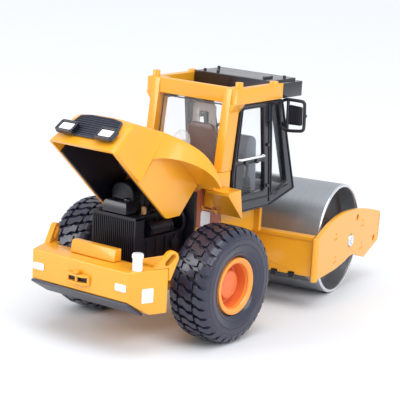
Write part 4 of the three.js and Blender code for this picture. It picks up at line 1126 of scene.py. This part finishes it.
def add_drum():
    """A thick rolled shell with turned edge rings, and a dished web bolted round the axle."""
    bm = drawing()
    shell = [(20.15, -30.1), (21.1, -30.1), (21.4, -29.8), (21.4, 29.8), (21.1, 30.1), (20.15, 30.1)]
    revolve(bm, shell, HUB, 160)
    piece("drum_skin", bm, "drum_steel", DRUM_STEEL, ["drum_shell"], sharp=40, body="drum")
    bm = drawing()
    half = [(0.001, -33.1), (1.8, -33.1), (2, -32.9), (2, -24.6), (7.6, -24.4), (8, -23.9), (18.6, -22.6),
            (20.1, -23.4), (20.1, -21.9), (3, -21.9)]
    revolve(bm, half + [(r, -y) for r, y in reversed(half)], HUB, 128)
    for hand in (-1, 1):
        for x, z in circle(6.1, 8, HUB):
            rod(bm, (x, hand * 24, z), (x, hand * 24.95, z), 0.55, 6)
    piece("drum_web", bm, "drum_steel", WEB_STEEL, ["drum_hub"], sharp=35, body="drum")
    bm = drawing()
    for hand in (-1, 1):
        ring = [(20.12, 29.7), (20.3, 30.3), (20.5, 30.42), (21, 30.42), (21.25, 30.25), (21.38, 29.9),
                (21, 29.6)]
        revolve(bm, [(r, hand * y) for r, y in ring], HUB, 160)
    piece("drum_edge_rings", bm, "bright_steel", BRIGHT_STEEL, sharp=60, body="drum")


def add_beam_flange():
    """The folded top edge of the rear beam, and the scraper's clips under it."""
    bm = drawing()
    for low, high in ((-33.2, -7.5), (7.5, 33.2)):
        prism(bm, rectangle(4.6, 27.3, 8.4, 28.85), low, high)
    piece("beam_flange", bm, "yellow_paint", YELLOW, bevel=0.3, segments=3, even=True, body="drum_frame")
    bm = drawing()
    for y in (-25.2, -18.2, 18.3, 25.3):
        box(bm, (4.8, 8.9), (y - 1.1, y + 1.1), (12.2, 14.1))
    piece("scraper_clips", bm, "black_plastic", BLACK, bevel=0.2, body="drum_frame")


for side, left in SIDES:
    add_yoke(side, left)
add_drum()
add_beam_flange()


# ---- nodes that keep their CAD shape
finish_node("rear_bumper cab_base", YELLOW, 0.45, 3)
finish_node("chassis_frame hood_rest_block rops_frame yoke_rear_beam yoke_front_beam", YELLOW, 0.3)
finish_node("fender_wedge_right fender_wedge_left steering_tongue", YELLOW, 0.35)
finish_node("bumper_underplate", DARK, 0.2)
finish_node("firewall", ENGINE, 0.12)
finish_node("cab_floor windscreen_frame", BLACK, 0.2)
finish_node("roof_box", GLOSS_BLACK, 0.35, 3)
finish_node("drum_scraper", BLACK, 0.08)
finish_node("door_glass_right door_glass_left windscreen rear_window", GLASS, 0.08)
finish_node("rear_axle hood_hinge_pin steering_pin", BRIGHT_STEEL, 0.1)


# ---- floor and light
def add_floor():
    half = 6.0
    mesh = bpy.data.meshes.new("floor")
    corners = [(x, y, 0) for x, y in rectangle(-half, -half, half, half)]
    mesh.from_pydata(corners, [], [(0, 1, 2, 3)])
    mesh.materials.append(plastic("pale_floor", (0.775, 0.80, 0.84), 0.55, 0.1, 2.0, 0.01, contrast=0.01))
    add_object("floor", mesh)


def add_area(name, place, size, power, aim=(0, 0, 0.04)):
    data = bpy.data.lights.new(name, "AREA")
    data.shape = "RECTANGLE"
    data.size, data.size_y = size
    data.energy = power
    lamp = add_object(name, data)
    lamp.location = place
    lamp.rotation_euler = (Vector(aim) - Vector(place)).to_track_quat("-Z", "Y").to_euler()


def add_light():
    world = bpy.data.worlds.new("world")
    bpy.context.scene.world = world
    world.use_nodes = True
    background = world.node_tree.nodes["Background"]
    background.inputs["Color"].default_value = (0.965, 0.98, 1.0, 1)
    background.inputs["Strength"].default_value = 0.80
    data = bpy.data.lights.new("overhead", "SUN")
    data.energy = 1.5
    data.angle = radians(44)
    sun = add_object("overhead", data)
    sun.rotation_euler = (radians(18), radians(-14), 0)
    add_area("softbox_left", (-0.6, 0.4, 0.4), (0.4, 0.4), 2.6)
    add_area("softbox_right", (-0.1, -0.7, 0.45), (0.5, 0.35), 2.0)


add_floor()
add_light()
